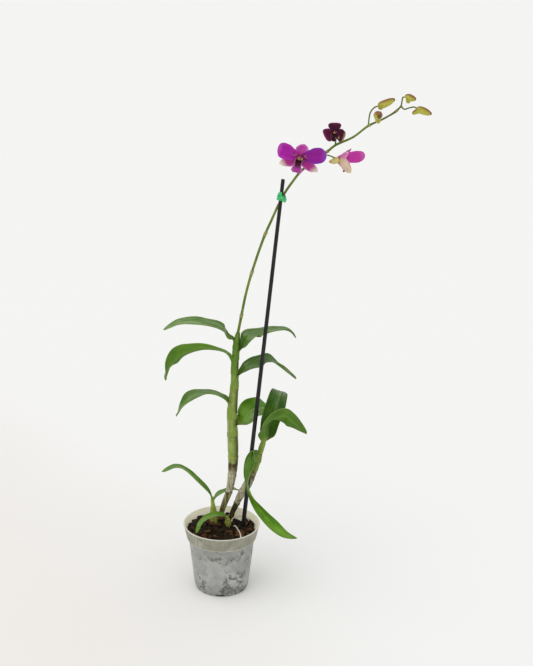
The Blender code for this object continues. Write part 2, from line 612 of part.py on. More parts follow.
def build_tie(group, material):
    """A band of tape round the stake and the spike, with its knot and two short ends."""
    frame, length = tilted_disc_frame(STAKE_FOOT, STAKE_TOP)
    share = (TIE_HEIGHT - STAKE_FOOT[2]) / (STAKE_TOP[2] - STAKE_FOOT[2])
    middle = Vector(STAKE_FOOT).lerp(Vector(STAKE_TOP), share)
    front = -(STAKE_RADII[1] + 0.0009)
    back = 0.0052 - middle.y + SPIKE[6][3] + 0.0016
    depth = (back - front) / 2
    angles = np.linspace(0, math.tau, TIE_STEPS + 1)
    loop = np.stack([TIE_SHIFT + TIE_HALF_WIDTH * np.sign(np.cos(angles)) * abs(np.cos(angles)) ** 0.8,
                     (front + back) / 2 + depth * np.sign(np.sin(angles)) * abs(np.sin(angles)) ** 0.8],
                    axis=1)
    levels = np.linspace(-0.5, 0.5, 3)
    bm = bmesh.new()
    rings = []
    for level in levels:
        waist = 1 + 0.10 * abs(level)
        ring = [bm.verts.new((x * waist, y, level * TIE_BAND)) for x, y in loop[:-1]]
        rings.append([bm.edges.new((a, b)) for a, b in zip(ring, ring[1:] + ring[:1])])
    for low, high in zip(rings, rings[1:]):
        bmesh.ops.bridge_loops(bm, edges=low + high)
    bmesh.ops.triangulate(bm, faces=bm.faces)
    bmesh.ops.recalc_face_normals(bm, faces=bm.faces)
    mesh = bpy.data.meshes.new("tie_band")
    bm.to_mesh(mesh)
    bm.free()
    band = add_object("tie_band", mesh, group)
    shell = band.modifiers.new("thickness", "SOLIDIFY")
    shell.thickness = TIE_THICKNESS
    shell.offset = 1.0
    knot_front = front - TIE_THICKNESS - 0.0006
    knot = tube("knot", [(-0.0016, knot_front, 0.0016), (0.0, knot_front - 0.0006, 0.0002),
                         (0.0018, knot_front, -0.0012)], [0.0014, 0.0021, 0.0014], group, resolution=2)
    ends = []
    for side, reach in ((-1, 0.0056), (1, 0.0066)):
        ends.append(tube("tape_end", [(0.0, knot_front - 0.0003, 0.0),
                                      (side * 0.003, knot_front - 0.0008, -0.0022),
                                      (side * reach, knot_front + 0.0002, -0.0052)],
                         [0.0011, 0.0014, 0.0012], group, resolution=2))
    tie = combine("tie", band, [knot, *ends], "UNION", group, material)
    axis = frame.to_3x3().to_4x4()
    straighten = Matrix.Rotation(-math.atan2(axis[1][0], axis[0][0]), 4, "Z")
    tie.matrix_world = Matrix.Translation(middle) @ axis @ straighten
    shade(tie)


def facing_matrix(bloom):
    """Local x to the viewer's right, y to the dorsal sepal, z out of the face."""
    out = Vector(bloom["facing"]).normalized()
    right = Vector(bloom["upright"]).cross(out).normalized()
    upright = out.cross(right)
    turn = Matrix((right, upright, out)).transposed().to_4x4()
    return Matrix.Translation(bloom["centre"]) @ turn @ Matrix.Scale(bloom["size"], 4)


def tepal_grid(tepal, cup, rows, columns):
    """A petal or sepal: its midline leaves the centre at a tilt and curls steadily."""
    direction, length, width, tilt, curl, kind = tepal
    direction = math.radians(direction)
    outward = np.array([math.cos(direction), math.sin(direction), 0.0])
    s = np.sin(np.linspace(0, math.pi / 2, rows))
    pitch = np.radians(tilt + cup + curl * s)
    step = np.diff(s, prepend=0.0) * length
    reach = TEPAL_START + np.cumsum(np.cos(pitch) * step)
    height = np.cumsum(np.sin(pitch) * step)
    path = reach[:, None] * outward + height[:, None] * np.array([0, 0, 1.0])
    rise, fall = (0.95, 0.45) if kind == "petal" else (0.45, 0.62)
    outline = (s + 0.10) ** rise * (1.004 - s) ** fall
    half = width / 2 * outline / outline.max()
    radii = np.full(rows, 0.030 if kind == "petal" else 0.014)
    return strip_grid(path, (0, 0, 1.0), np.zeros(rows), half, radii, columns)


def build_bloom(name, bloom, group, petal_material, lip_material):
    """Five tepals, the column, the chin and the ovary fused; the lip is its own piece."""
    place = facing_matrix(bloom)
    pieces = []
    for key, tepal in {**TEPALS, **bloom["tepals"]}.items():
        columns = 6 if tepal[5] == "petal" else 5
        grid = tepal_grid(tepal, bloom["cup"], 7, columns)
        pieces.append(solid_sheet(key, grid, TEPAL_THICKNESS, group))
    for key, line, count in (("chin", bloom["chin"], 6), ("ovary", OVARY, 4)):
        points = smooth_curve(line, count)
        pieces.append(tube(key, points[:, :3], points[:, 3], group, resolution=2))
    points = smooth_curve(COLUMN, 6)
    column = tube("column", points[:, :3], points[:, 3], group, resolution=3)
    tepals = combine(name + "_tepals", column, pieces, "UNION", group, petal_material)
    tepals.matrix_world = place
    shade(tepals)
    path = smooth_curve(LIP_PATH, 9)
    steps = np.linspace(0, 1, len(path))
    marks = np.linspace(0, 1, len(LIP_HALF_WIDTHS))
    half = np.interp(steps, marks, LIP_HALF_WIDTHS) * bloom["lip_width"]
    radii = np.interp(steps, marks, LIP_RADII)
    grid = strip_grid(path, (0, 1.0, 0), np.zeros(len(path)), half, radii, 6)
    lip = solid_sheet(name + "_lip", grid, TEPAL_THICKNESS, group, lip_material)
    lip.matrix_world = place
    shade(lip)


def build_bud(name, bud, group, material):
    """A closed bud: a plump pointed body, with the chin standing off its neck."""
    body = smooth_curve([(*point, bud["girth"] * share)
                         for point, share in zip(bud["body"], BUD_PROFILE)], 9)
    root, tip = (np.array(point) for point in bud["chin"])
    line = [(*(root + (tip - root) * share), bud["girth"] * girth)
            for share, girth in ((0.0, 0.74), (0.55, 0.62), (0.9, 0.40), (1.0, 0.16))]
    chin = tube("chin", [point[:3] for point in line], [point[3] for point in line], group, resolution=2)
    whole = tube(name + "_body", body[:, :3], body[:, 3], group, resolution=2)
    item = combine(name, whole, [chin], "UNION", group, material)
    shade(item)


def pedicel(name, points, group):
    """A thin flower stalk."""
    line = smooth_curve(points, 8)
    return tube(name, line, np.full(len(line), PEDICEL_RADIUS), group, resolution=1)


def build_spike(group, material):
    """The spike's axis with its joint rings, and every flower stalk fused to it."""
    length = np.linalg.norm(np.diff(np.array(SPIKE)[:, :3], axis=0), axis=1).sum()
    line = smooth_curve(SPIKE, int(length / SPIKE_STEP))
    radii = line[:, 3].copy()
    for height in SPIKE_NODES:
        radii += 0.0005 * np.exp(-((line[:, 2] - height) / 0.004) ** 2)
    axis = tube("spike_axis", line[:, :3], radii, group, resolution=2)
    stalks = []
    for name, bloom in BLOOMS.items():
        place = facing_matrix(bloom)
        end = np.array(OVARY[-1][:3])
        away = unit(end - np.array(OVARY[-2][:3]))
        near = place @ Vector(end + away * CLEARANCE * 1.2 / bloom["size"])
        before = place @ Vector(end + away * 0.0055 / bloom["size"])
        start = Vector(bloom["stalk_from"])
        middle = start.lerp(before, 0.5) + Vector((0, 0, 0.0012))
        stalks.append(pedicel(name + "_stalk", [start, middle, before, near], group))
    for name, bud in BUDS.items():
        neck, inner = Vector(bud["body"][0]), Vector(bud["body"][1])
        away = (neck - inner).normalized()
        ending = [neck + away * 0.0022, neck + away * CLEARANCE]
        stalks.append(pedicel(name + "_stalk", [*bud["stalk"], *ending], group))
    spike = combine("flower_spike", axis, stalks, "UNION", group, material)
    shade(spike)


def shoot_leaf_grid(leaf, rows, columns):
    """A narrow young leaf that starts inside its bulb."""
    path = smooth_curve(leaf["blade"], rows)
    s = np.linspace(0, 1, rows)
    rolls = np.interp(s, np.linspace(0, 1, len(leaf["rolls"])), leaf["rolls"])
    radii = np.full(rows, leaf["width"] * 0.75)
    half = leaf["width"] / 2 * blade_outline(s) * (0.35 + 0.65 * smoothstep(s / 0.35))
    return strip_grid(path, leaf["toward"], np.radians(rolls), half, radii, columns)


def build_shoot(name, bulb, leaves, group, material):
    """A young growth: its bulb with the leaves fused to it."""
    line = smooth_curve(bulb, 9)
    body = tube(name + "_bulb", line[:, :3], line[:, 3], group, resolution=4)
    blades = [solid_sheet(f"{name}_leaf_{k}", shoot_leaf_grid(leaf, 12, 5), SHOOT_THICKNESS, group)
              for k, leaf in enumerate(leaves)]
    shoot = combine(name, body, blades, "UNION", group, material)
    shade(shoot)
    return line


def build_cane(name, cane, nodes, group, material):
    points, radii = cane_line(cane, nodes)
    stem = tube(name, points, radii, group, material, resolution=3)
    shade(stem)
    return stem_hole(name, points, radii, group)


def build_root(name, points, group, material):
    line = smooth_curve(points, 14)
    root = tube(name, line, np.full(len(line), ROOT_RADIUS), group, material, resolution=1)
    shade(root)
    return stem_hole(name, line, np.full(len(line), ROOT_RADIUS + 0.0002), group)


def main():
    clear_scene()
    group = make_collection("dendrobium_orchid")
    paint = {name: make_material(name) for name in COLOURS}
    build_pot(group, paint["clear_plastic"])
    holes = [build_cane("tall_cane", TALL_CANE, TALL_NODES, group, paint["cane"]),
             build_cane("short_cane", SHORT_CANE, SHORT_NODES, group, paint["cane"])]
    for name, points in ROOTS.items():
        holes.append(build_root(name, points, group, paint["root"]))
    for name, bulb, leaves in (("shoot_left", LEFT_BULB, LEFT_BULB_LEAVES),
                               ("shoot_front", FRONT_BULB, FRONT_BULB_LEAVES)):
        line = build_shoot(name, bulb, leaves, group, paint["leaf"])
        holes.append(stem_hole(name, line[:, :3], line[:, 3], group))
    share = np.linspace(0, 0.15, 4)[:, None]
    stake_line = np.array(STAKE_FOOT) * (1 - share) + np.array(STAKE_TOP) * share
    holes.append(stem_hole("stake", stake_line, np.full(4, STAKE_RADII[0]), group, top=1.0))
    build_bark(group, paint["bark"], holes)
    build_stake(group, paint["stake_coat"])
    build_tie(group, paint["tape"])
    for name, leaf in LEAVES.items():
        build_leaf(name, leaf, group, paint["leaf"])
    build_spike(group, paint["spike"])
    for name, bloom in BLOOMS.items():
        petal = paint["dark_petal" if name == "bloom_3" else "petal"]
        build_bloom(name, bloom, group, petal, paint["lip"])
    for name, bud in BUDS.items():
        build_bud(name, bud, group, paint["bud"])


main()
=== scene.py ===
# %% [markdown]
# # A dendrobium orchid in its clear nursery pot
# A tall leafy cane and a short one stand in bark, with two young shoots at their feet. A thin
# spike leaves the top of the tall cane, is tied to a black stake and carries three open blooms
# and four buds. The solid model gives every place and size. This lesson gives the looks:
# each solid is stood for by a finer surface that follows the same lines.

# %% Load the solid model
import math

import bmesh
import bpy
import numpy as np
from mathutils import Matrix, Vector


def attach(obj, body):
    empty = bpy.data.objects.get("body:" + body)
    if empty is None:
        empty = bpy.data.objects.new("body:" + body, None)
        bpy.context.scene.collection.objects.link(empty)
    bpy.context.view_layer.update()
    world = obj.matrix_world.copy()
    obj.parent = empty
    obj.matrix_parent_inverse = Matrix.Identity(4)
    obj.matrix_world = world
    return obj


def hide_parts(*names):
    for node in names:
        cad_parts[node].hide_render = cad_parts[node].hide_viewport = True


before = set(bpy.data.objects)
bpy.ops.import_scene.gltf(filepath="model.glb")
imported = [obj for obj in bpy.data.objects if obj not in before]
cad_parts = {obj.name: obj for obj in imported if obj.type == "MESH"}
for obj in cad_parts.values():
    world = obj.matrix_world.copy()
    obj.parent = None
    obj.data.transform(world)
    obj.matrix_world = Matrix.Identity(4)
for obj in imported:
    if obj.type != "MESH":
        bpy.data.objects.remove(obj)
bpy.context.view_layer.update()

# %% [markdown]
# ## The camera and the light
# The plant is seen from a little above, so the rim of the pot is an ellipse. The pitch comes
# from how flat that ellipse is. The light is a bright, even studio: three quarters of it is a
# pale sky and the rest a very wide lamp high on the left, far off, so the floor is evenly lit.

# %% Camera
LONG_SIDE = 666
FOCAL_PIXELS = 1170
PITCH_DOWN = math.radians(17.82)
PICTURE_MIDDLE, PLANT_COLUMN = 266.5, 221.6
camera_data = bpy.data.cameras.new("camera")
camera_data.sensor_width = 36.0
camera_data.lens = FOCAL_PIXELS / LONG_SIDE * camera_data.sensor_width
camera_data.shift_x = (PICTURE_MIDDLE - PLANT_COLUMN) / LONG_SIDE
camera = bpy.data.objects.new("camera", camera_data)
camera.location = (0.0, -1.46, 0.84)
camera.rotation_euler = (math.pi / 2 - PITCH_DOWN, 0.0, 0.0)
bpy.context.scene.collection.objects.link(camera)
bpy.context.scene.camera = camera
print("lens", round(camera_data.lens, 2), "mm")

# %% Soft studio light
SKY = 0.76
scene = bpy.context.scene
scene.view_settings.view_transform = "Standard"
world = bpy.data.worlds.new("studio")
world.use_nodes = True
world.node_tree.nodes["Background"].inputs["Color"].default_value = (1.0, 1.0, 0.997, 1.0)
world.node_tree.nodes["Background"].inputs["Strength"].default_value = SKY
scene.world = world

KEY_FROM = Vector((-0.42, -0.40, 0.82))
key_data = bpy.data.lights.new("key", "SUN")
key_data.energy = 0.93
key_data.angle = math.radians(80)
key_data.color = (1.0, 0.995, 0.985)
key = bpy.data.objects.new("key", key_data)
key.rotation_euler = KEY_FROM.to_track_quat("Z", "Y").to_euler()
scene.collection.objects.link(key)
floor_light = SKY + key_data.energy * KEY_FROM.normalized().z / math.pi
print("light on the floor", round(floor_light, 3), "of full white")

# %% [markdown]
# ## Writing materials as sums
# A material is a small net of nodes. Wrapping a socket in a class lets the net be written
# as plain arithmetic, so a mask can be `1 - rim * wear` and reads like one. A skin is a first
# colour with coats over it, and each coat shows where its own mask lets it.

# %% Wires and paints


class Wire:
    """A socket of a material; arithmetic on it adds Math nodes."""

    def __init__(self, paint, socket):
        self.paint, self.socket = paint, socket

    def math(self, operation, *values):
        return self.paint.node("ShaderNodeMath", {"operation": operation}, dict(enumerate(values)))

    def __add__(self, other):
        return self.math("ADD", self, other)

    def __sub__(self, other):
        return self.math("SUBTRACT", self, other)

    def __rsub__(self, other):
        return self.math("SUBTRACT", other, self)

    def __mul__(self, other):
        return self.math("MULTIPLY", self, other)

    def __pow__(self, other):
        return self.math("POWER", self, other)

    __radd__, __rmul__ = __add__, __mul__

    def sine(self):
        return self.math("SINE", self)

    def size(self):
        return self.math("ABSOLUTE", self)

    def ease(self, low, high):
        """Goes smoothly from 0 at low to 1 at high."""
        return self.paint.node("ShaderNodeMapRange", {"interpolation_type": "SMOOTHSTEP"},
                               {"Value": self, "From Min": low, "From Max": high})

    def blend(self, low, high, first, second):
        """Goes from the first colour at low to the second at high."""
        return self.paint.mix(self.ease(low, high), first, second)


def tint(red, green, blue):
    """A colour as the eye reads it, from 0 to 255, turned to amounts of light."""
    share = np.array((red, green, blue)) / 255
    return tuple(np.where(share <= 0.04045, share / 12.92, ((share + 0.055) / 1.055) ** 2.4))


class Paint:
    """A Principled material. Constants go straight on its sockets, and colours are written as
    the eye reads them, from 0 to 255."""

    def __init__(self, name, **constants):
        self.material = bpy.data.materials.new(name)
        self.material.use_nodes = True
        self.tree = self.material.node_tree
        self.shader = self.tree.nodes["Principled BSDF"]
        for key, value in constants.items():
            self.feed(self.shader.inputs[key.replace("_", " ")], value)

    def feed(self, socket, value):
        if isinstance(value, Wire):
            self.tree.links.new(value.socket, socket)
        elif socket.type == "RGBA":
            socket.default_value = (*tint(*value), 1.0)
        else:
            socket.default_value = value

    def node(self, kind, settings, sockets, output=0):
        """Adds a node: its settings first, then values or wires for its sockets."""
        made = self.tree.nodes.new(kind)
        for key, value in settings.items():
            setattr(made, key, value)
        for key, value in sockets.items():
            self.feed(made.inputs[key], value)
        return Wire(self, made.outputs[output])

    def place(self):
        """The point's place in metres."""
        return self.node("ShaderNodeTexCoord", {}, {}, "Object")

    def height(self):
        """The point's height in metres."""
        return self.split(self.place())[2]

    def chart(self):
        """The piece's own map: across it, and along it, both from 0 to 1."""
        return self.split(self.node("ShaderNodeUVMap", {"uv_map": "chart"}, {}))[:2]

    def mark(self, name):
        """A number that the piece carries at every point."""
        return self.node("ShaderNodeAttribute", {"attribute_name": name}, {}, "Fac")

    def split(self, vector):
        made = self.node("ShaderNodeSeparateXYZ", {}, {"Vector": vector})
        outputs = made.socket.node.outputs
        return Wire(self, outputs[0]), Wire(self, outputs[1]), Wire(self, outputs[2])

    def join(self, x, y, z=0.0):
        return self.node("ShaderNodeCombineXYZ", {}, {0: x, 1: y, 2: z})

    def noise(self, scale, detail=3.0, roughness=0.55, distortion=0.0, at=None):
        """Cloudy values round a half, read at the point's place unless at gives another."""
        return self.node("ShaderNodeTexNoise", {}, {
            "Vector": at or self.place(), "Scale": scale, "Detail": detail,
            "Roughness": roughness, "Distortion": distortion})

    def fibres(self, wide, tall, detail=3.0, roughness=0.55):
        """Noise drawn out upward: wide and tall are its scales across and along Z."""
        x, y, z = self.split(self.place())
        return self.noise(1.0, detail, roughness, at=self.join(x * wide, y * wide, z * tall))

    def cells(self, scale):
        """Distance to the nearest of many scattered points."""
        return self.node("ShaderNodeTexVoronoi", {}, {"Vector": self.place(), "Scale": scale})

    def mix(self, share, first, second):
        """Goes from the first colour to the second as share goes from 0 to 1."""
        return self.node("ShaderNodeMix", {"data_type": "RGBA"}, {0: share, 6: first, 7: second}, 2)

    def coats(self, skin, *layers):
        """Lays colours over a first one: each layer is a mask and the colour it brings."""
        for mask, colour in layers:
            skin = self.mix(mask, skin, colour)
        return skin

    def relief(self, height, depth, strength=1.0):
        return self.node("ShaderNodeBump", {}, {"Height": height, "Distance": depth,
                                                "Strength": strength})

    def wear(self, **wires):
        """Plugs the finished wires into the shader and gives the material."""
        for key, wire in wires.items():
            self.feed(self.shader.inputs[key.replace("_", " ")], wire)
        return self.material


print("mid grey holds", [round(float(v), 3) for v in tint(128, 128, 128)], "of the light")

# %% [markdown]
# ## Surfaces from arrays
# Leaves, petals, stems and chips are all the same kind of thing: closed loops of points
# carried along a line. A blade is a flattened loop, over its upper side and back under it.
# Each loop is a row of an array, so a whole surface is worked out at once.

# %% Lines and their frames


def unit(vectors):
    return vectors / np.linalg.norm(vectors, axis=-1, keepdims=True)


def ease(x, low=0.0, high=1.0):
    """Cubic step: 3t^2 - 2t^3 with t the share of the way from low to high."""
    t = np.clip((np.asarray(x, float) - low) / (high - low), 0, 1)
    return t * t * (3 - 2 * t)


def hermite(knots, slopes, place, gaps=None):
    """(2u^3 - 3u^2 + 1) a + (u^3 - 2u^2 + u) g a' + (3u^2 - 2u^3) b + (u^3 - u^2) g b', with u the
    share of the way from knot a to knot b and g the gap between them."""
    i = np.minimum(place.astype(int), len(knots) - 2)
    u = (place - i)[:, None]
    span = 1.0 if gaps is None else gaps[i][:, None]
    return ((2 * u**3 - 3 * u**2 + 1) * knots[i] + (u**3 - 2 * u**2 + u) * span * slopes[i]
            + (3 * u**2 - 2 * u**3) * knots[i + 1] + (u**3 - u**2) * span * slopes[i + 1])


def smooth_curve(points, count, shares=None):
    """Hermite curve through the points, with knots spaced by the root of their distance,
    read again at even steps along it or at the given shares."""
    knots = np.asarray(points, float)
    gaps = np.linalg.norm(np.diff(knots[:, :3], axis=0), axis=1) ** 0.5
    times = np.concatenate([[0], np.cumsum(gaps)])
    slopes = np.gradient(knots, times, axis=0)
    fine = hermite(knots, slopes, np.linspace(0, len(knots) - 1, 20 * (len(knots) - 1) + 1), gaps)
    steps = np.linalg.norm(np.diff(fine[:, :3], axis=0), axis=1)
    along = np.concatenate([[0], np.cumsum(steps)])
    wanted = along[-1] * (np.linspace(0, 1, count) if shares is None else shares)
    return np.stack([np.interp(wanted, along, column) for column in fine.T], axis=1)


def refine(rows, count):
    """Cubic through evenly numbered rows: each span is a Hermite piece with the mean of the
    neighbouring differences as its slopes."""
    rows = np.asarray(rows, float)
    flat = rows.reshape(len(rows), -1)
    fine = hermite(flat, np.gradient(flat, axis=0), np.linspace(0, len(flat) - 1, count))
    return fine.reshape(count, *rows.shape[1:])


def stem_line(table, rows, coarse=None):
    """Path and radii from a table of x, y, z and radius. Where coarse is given, the curve is
    read at that many points first, and a cubic through them gives the rows."""
    line = refine(smooth_curve(table, coarse), rows) if coarse else smooth_curve(table, rows)
    return line[:, :3], line[:, 3]


def round_end(s, start):
    """Root of 1 - t^2, with t from 0 at start to 1 at the tip, which rounds a strip's end."""
    return np.sqrt(np.clip(1 - np.clip((s - start) / (1 - start), 0, 1) ** 2, 0.01, 1))


def carried_frame(path, toward, rolls):
    """Across and upward directions for every row: the first faces toward, each next one is
    the last with its share along the line taken out, and the roll then turns both."""
    tangents = unit(np.gradient(path, axis=0))
    normals = np.zeros_like(path)
    carried = np.asarray(toward, float)
    for i, tangent in enumerate(tangents):
        carried = unit(carried - tangent * (carried @ tangent))
        normals[i] = carried
    sideways = np.cross(normals, tangents)
    cosine, sine = np.cos(rolls)[:, None], np.sin(rolls)[:, None]
    return sideways * cosine + normals * sine, normals * cosine - sideways * sine


def fine_frames(path, toward, rolls, rows):
    """Frames of a coarse line, then a cubic through them, squared up again."""
    across, upward = carried_frame(path, toward, rolls)
    path, across, upward = refine(path, rows), refine(across, rows), refine(upward, rows)
    across = unit(across)
    return path, across, unit(upward - across * (upward * across).sum(-1, keepdims=True))


def arc_rows(frames, half, radius, columns, lift=0.0):
    """Each row is centre + across * r sin(a) + upward * (r - r cos(a) + lift), where the arc
    r a runs from minus the half width to plus it."""
    path, across, upward = frames
    arc = np.linspace(-1, 1, columns)[None, :] * half[:, None]
    angle = arc / radius[:, None]
    out = np.sin(angle) * radius[:, None]
    rise = (1 - np.cos(angle)) * radius[:, None] + lift
    return path[:, None] + across[:, None] * out[..., None] + upward[:, None] * rise[..., None]


print("a step eased at one quarter:", round(float(ease(0.25)), 3))

# %% One mesh from many loops


class Shape:
    """Gathers closed loops of points into one mesh, with its chart and its marks."""

    MARKS = ("tone", "side", "clasp", "sky")
    RING_START = (0.31, 0.87, 0.38)

    def __init__(self):
        self.points, self.quads, self.chart, self.slots, self.count = [], [], [], [], 0
        self.marks = {name: [] for name in self.MARKS}

    def patch(self, grid, across=None, along=None, slot=0, **marks):
        """Quads between neighbouring rows and columns; marks are numbers or arrays. Unless it
        is given, the chart runs evenly from 0 to 1 both ways."""
        rows, columns = grid.shape[:2]
        across = np.linspace(0, 1, columns)[None, :] if across is None else across
        along = np.linspace(0, 1, rows)[:, None] if along is None else along
        number = np.arange(rows * columns).reshape(rows, columns) + self.count
        quads = np.stack([number[:-1, :-1], number[:-1, 1:], number[1:, 1:], number[1:, :-1]], -1)
        self.quads.append(quads.reshape(-1, 4))
        self.points.append(grid.reshape(-1, 3))
        chart = np.stack(np.broadcast_arrays(across, along), -1)
        self.chart.append(np.broadcast_to(chart, (rows, columns, 2)).reshape(-1, 2))
        self.slots.append(np.full((rows - 1) * (columns - 1), slot))
        for name in self.MARKS:
            value = np.broadcast_to(marks.get(name, 0.0), (rows, columns))
            self.marks[name].append(value.reshape(-1))
        self.count += rows * columns

    def loft(self, loops, across, along, slot=0, **marks):
        """Rings whose first and last rows close to a point at their middle."""
        ends = [loops[:1].mean(axis=1, keepdims=True), loops[-1:].mean(axis=1, keepdims=True)]
        wide = [np.broadcast_to(end, (1, loops.shape[1], 3)) for end in ends]
        closed = np.concatenate([wide[0], loops, wide[1]])
        pad = {name: np.pad(np.broadcast_to(value, loops.shape[:2]), ((1, 1), (0, 0)), "edge")
               for name, value in marks.items()}
        along = np.pad(np.broadcast_to(along, (len(loops), 1)), ((1, 1), (0, 0)), "edge")
        self.patch(closed, across, along, slot, **pad)

    def tube(self, path, radii, sides, slot=0, ridges=None, side_toward=(0.0, 0.0, 1.0), **marks):
        """Circles of the given radii round a line; ridges scales them by angle and place. The
        side mark is how far a point faces the given side direction, from -1 to 1."""
        across, upward = carried_frame(path, self.RING_START, np.zeros(len(path)))
        angle = np.linspace(0, math.tau, sides + 1)[None, :, None]
        along = np.linspace(0, 1, len(path))[:, None]
        size = np.asarray(radii, float)[:, None] * np.ones(sides + 1)
        if ridges is not None:
            size = size * ridges(angle[..., 0], along)
        outward = across[:, None] * np.cos(angle) + upward[:, None] * np.sin(angle)
        loops = path[:, None] + outward * size[..., None]
        loops[:, -1] = loops[:, 0]
        marks.setdefault("side", outward @ np.array(side_toward))
        self.loft(loops, np.linspace(0, 1, sides + 1)[None, :], along, slot, **marks)

    def blade(self, middle, thickness, along, slot=0, **marks):
        """A sheet given its thickness along its own normals, as a loop over it and back. The
        side mark is 1 on its back, and the sky mark is how far a point faces upward."""
        columns = middle.shape[1]
        lengthwise, crosswise = np.gradient(middle, axis=0), np.gradient(middle, axis=1)
        normal = np.cross(lengthwise, crosswise)
        normal /= np.maximum(np.linalg.norm(normal, axis=-1, keepdims=True), 1e-12)
        u = np.linspace(-1, 1, columns)
        half = np.asarray(thickness)[..., None] / 2 * (0.35 + 0.65 * np.sqrt(1 - u**4))
        top = middle + normal * half[..., None]
        under = middle - normal * half[..., None]
        loops = np.concatenate([top, under[:, ::-1], top[:, :1]], axis=1)
        chart = (u + 1) / 2
        across = np.concatenate([chart, chart[::-1], chart[:1]])[None, :]
        side = np.concatenate([np.zeros(columns), np.ones(columns), [0.0]])[None, :]
        full = {name: np.concatenate([value, value[:, ::-1], value[:, :1]], axis=1)
                if np.ndim(value) == 2 and np.shape(value)[1] == columns else value
                for name, value in marks.items()}
        full.setdefault("side", side)
        lift = normal[..., 2]
        full["sky"] = np.concatenate([lift, -lift[:, ::-1], lift[:, :1]], axis=1)
        self.loft(loops, across, along, slot, **full)

    def build(self, name, materials, node, slot, sharp=None, place=None):
        """Welds the seams and poles, turns all faces outward and links the object."""
        points = np.concatenate(self.points)
        if place is not None:
            points = points @ np.array(place.to_3x3()).T + np.array(place.translation)
        quads = np.concatenate(self.quads)
        mesh = bpy.data.meshes.new(name)
        mesh.vertices.add(len(points))
        mesh.vertices.foreach_set("co", points.ravel())
        mesh.loops.add(quads.size)
        mesh.loops.foreach_set("vertex_index", quads.ravel())
        mesh.polygons.add(len(quads))
        mesh.polygons.foreach_set("loop_start", np.arange(0, quads.size, 4))
        mesh.polygons.foreach_set("material_index", np.concatenate(self.slots))
        mesh.uv_layers.new(name="chart").data.foreach_set(
            "uv", np.concatenate(self.chart)[quads.ravel()].ravel())
        for mark, values in self.marks.items():
            layer = mesh.attributes.new(mark, "FLOAT", "POINT")
            layer.data.foreach_set("value", np.concatenate(values))
        mesh.update(calc_edges=True)
        bm = bmesh.new()
        bm.from_mesh(mesh)
        bmesh.ops.remove_doubles(bm, verts=bm.verts, dist=1e-7)
        bmesh.ops.dissolve_degenerate(bm, edges=bm.edges, dist=1e-8)
        bmesh.ops.recalc_face_normals(bm, faces=bm.faces)
        open_edges = sum(not edge.is_manifold for edge in bm.edges)
        bm.to_mesh(mesh)
        bm.free()
        mesh.shade_smooth()
        if sharp is not None:
            mesh.set_sharp_from_angle(angle=math.radians(sharp))
        piece = bpy.data.objects.new(name, mesh)
        scene.collection.objects.link(piece)
        for material in materials:
            mesh.materials.append(material)
        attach(piece, "root")
        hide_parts(node)
        print(f"{name}: {len(mesh.polygons)} faces, {open_edges} open edges")
        return piece


ring = Shape()
ring.tube(smooth_curve(((0, 0, 0), (0, 0, 1)), 3), np.ones(3), 6)
print("a short tube has", len(ring.quads[0]), "quads before welding")

# %% [markdown]
# ## The pot
# A thin moulded cup, once clear and now scuffed grey by water marks. The damp bark shows
# through it as darker blotches, and the stiff collar under the rim stays greener and cleaner.
# It is turned, so one profile carried round the axis gives it. The blotches are painted with
# layered noise, because they belong to the wall and not to its form. A painted highlight runs
# along the rim and the collar step, the drain slots are darkened as painted shade, and the
# inside glows a little as painted light.

# %% Pot plastic
pot_paint = Paint("pot_plastic", Specular_IOR_Level=0.4, Emission_Strength=0.22)
z = pot_paint.height()
haze = pot_paint.noise(34, 5, 0.6)
cloud = pot_paint.noise(17, 3, 0.5)
streak = pot_paint.fibres(60, 14, 4, 0.6)
stain = pot_paint.noise(64, 9, 0.74, 0.35)
speck = pot_paint.noise(240, 3, 0.6).ease(0.56, 0.68)
glint = pot_paint.noise(120, 2).ease(0.70, 0.75)
band = z.ease(0.040, 0.062) * 0.5 + (1 - z.ease(0.006, 0.030)) * 0.6
blotch = (stain + (cloud - 0.5) * 0.5 + band * 0.09).ease(0.575, 0.635)
wall = pot_paint.coats(haze.blend(0.32, 0.68, (146, 148, 146), (184, 184, 181)),
                       (streak.ease(0.5, 0.75) * 0.4, (128, 132, 130)),
                       (band * 0.55, (124, 126, 120)),
                       (stain.ease(0.48, 0.60) * 0.45, (116, 119, 110)),
                       (blotch * (0.55 + speck * 0.4), (54, 57, 48)),
                       (glint * 0.6, (214, 216, 216)))
collar = pot_paint.coats(haze.blend(0.3, 0.7, (132, 132, 114), (166, 165, 150)),
                         (cloud.ease(0.42, 0.62) * 0.45, (118, 116, 92)),
                         (streak.ease(0.52, 0.62) * 0.35, (186, 186, 172)),
                         (blotch * 0.3, (92, 90, 68)))
inner = pot_paint.mark("side")
lining = haze.blend(0.3, 0.7, (228, 222, 194), (246, 242, 224))
skin = pot_paint.coats(z.blend(0.0745, 0.0760, wall, collar), (inner, lining),
                       # painted highlight: the rim top and the outer collar step are lightened
                       # where light catches them
                       (pot_paint.mark("tone") * 0.75, (216, 216, 204)),
                       # painted shade: the pressed-in drain slots are darkened as if they opened
                       # into the dark inside
                       (pot_paint.mark("clasp").ease(0.2, 0.8), (30, 28, 26)))
grain = haze * 0.5 + streak * 0.3 + stain * 0.4
# painted light: the inner lining glows a little, standing in for light that comes through the thin
# wall
pot_plastic = pot_paint.wear(Base_Color=skin, Roughness=0.38 + haze * 0.22,
                             Emission_Color=pot_paint.mix(inner, (0, 0, 0), lining),
                             Normal=pot_paint.relief(grain, 0.0004, 0.5))
print("pot plastic:", len(pot_paint.tree.nodes), "nodes")

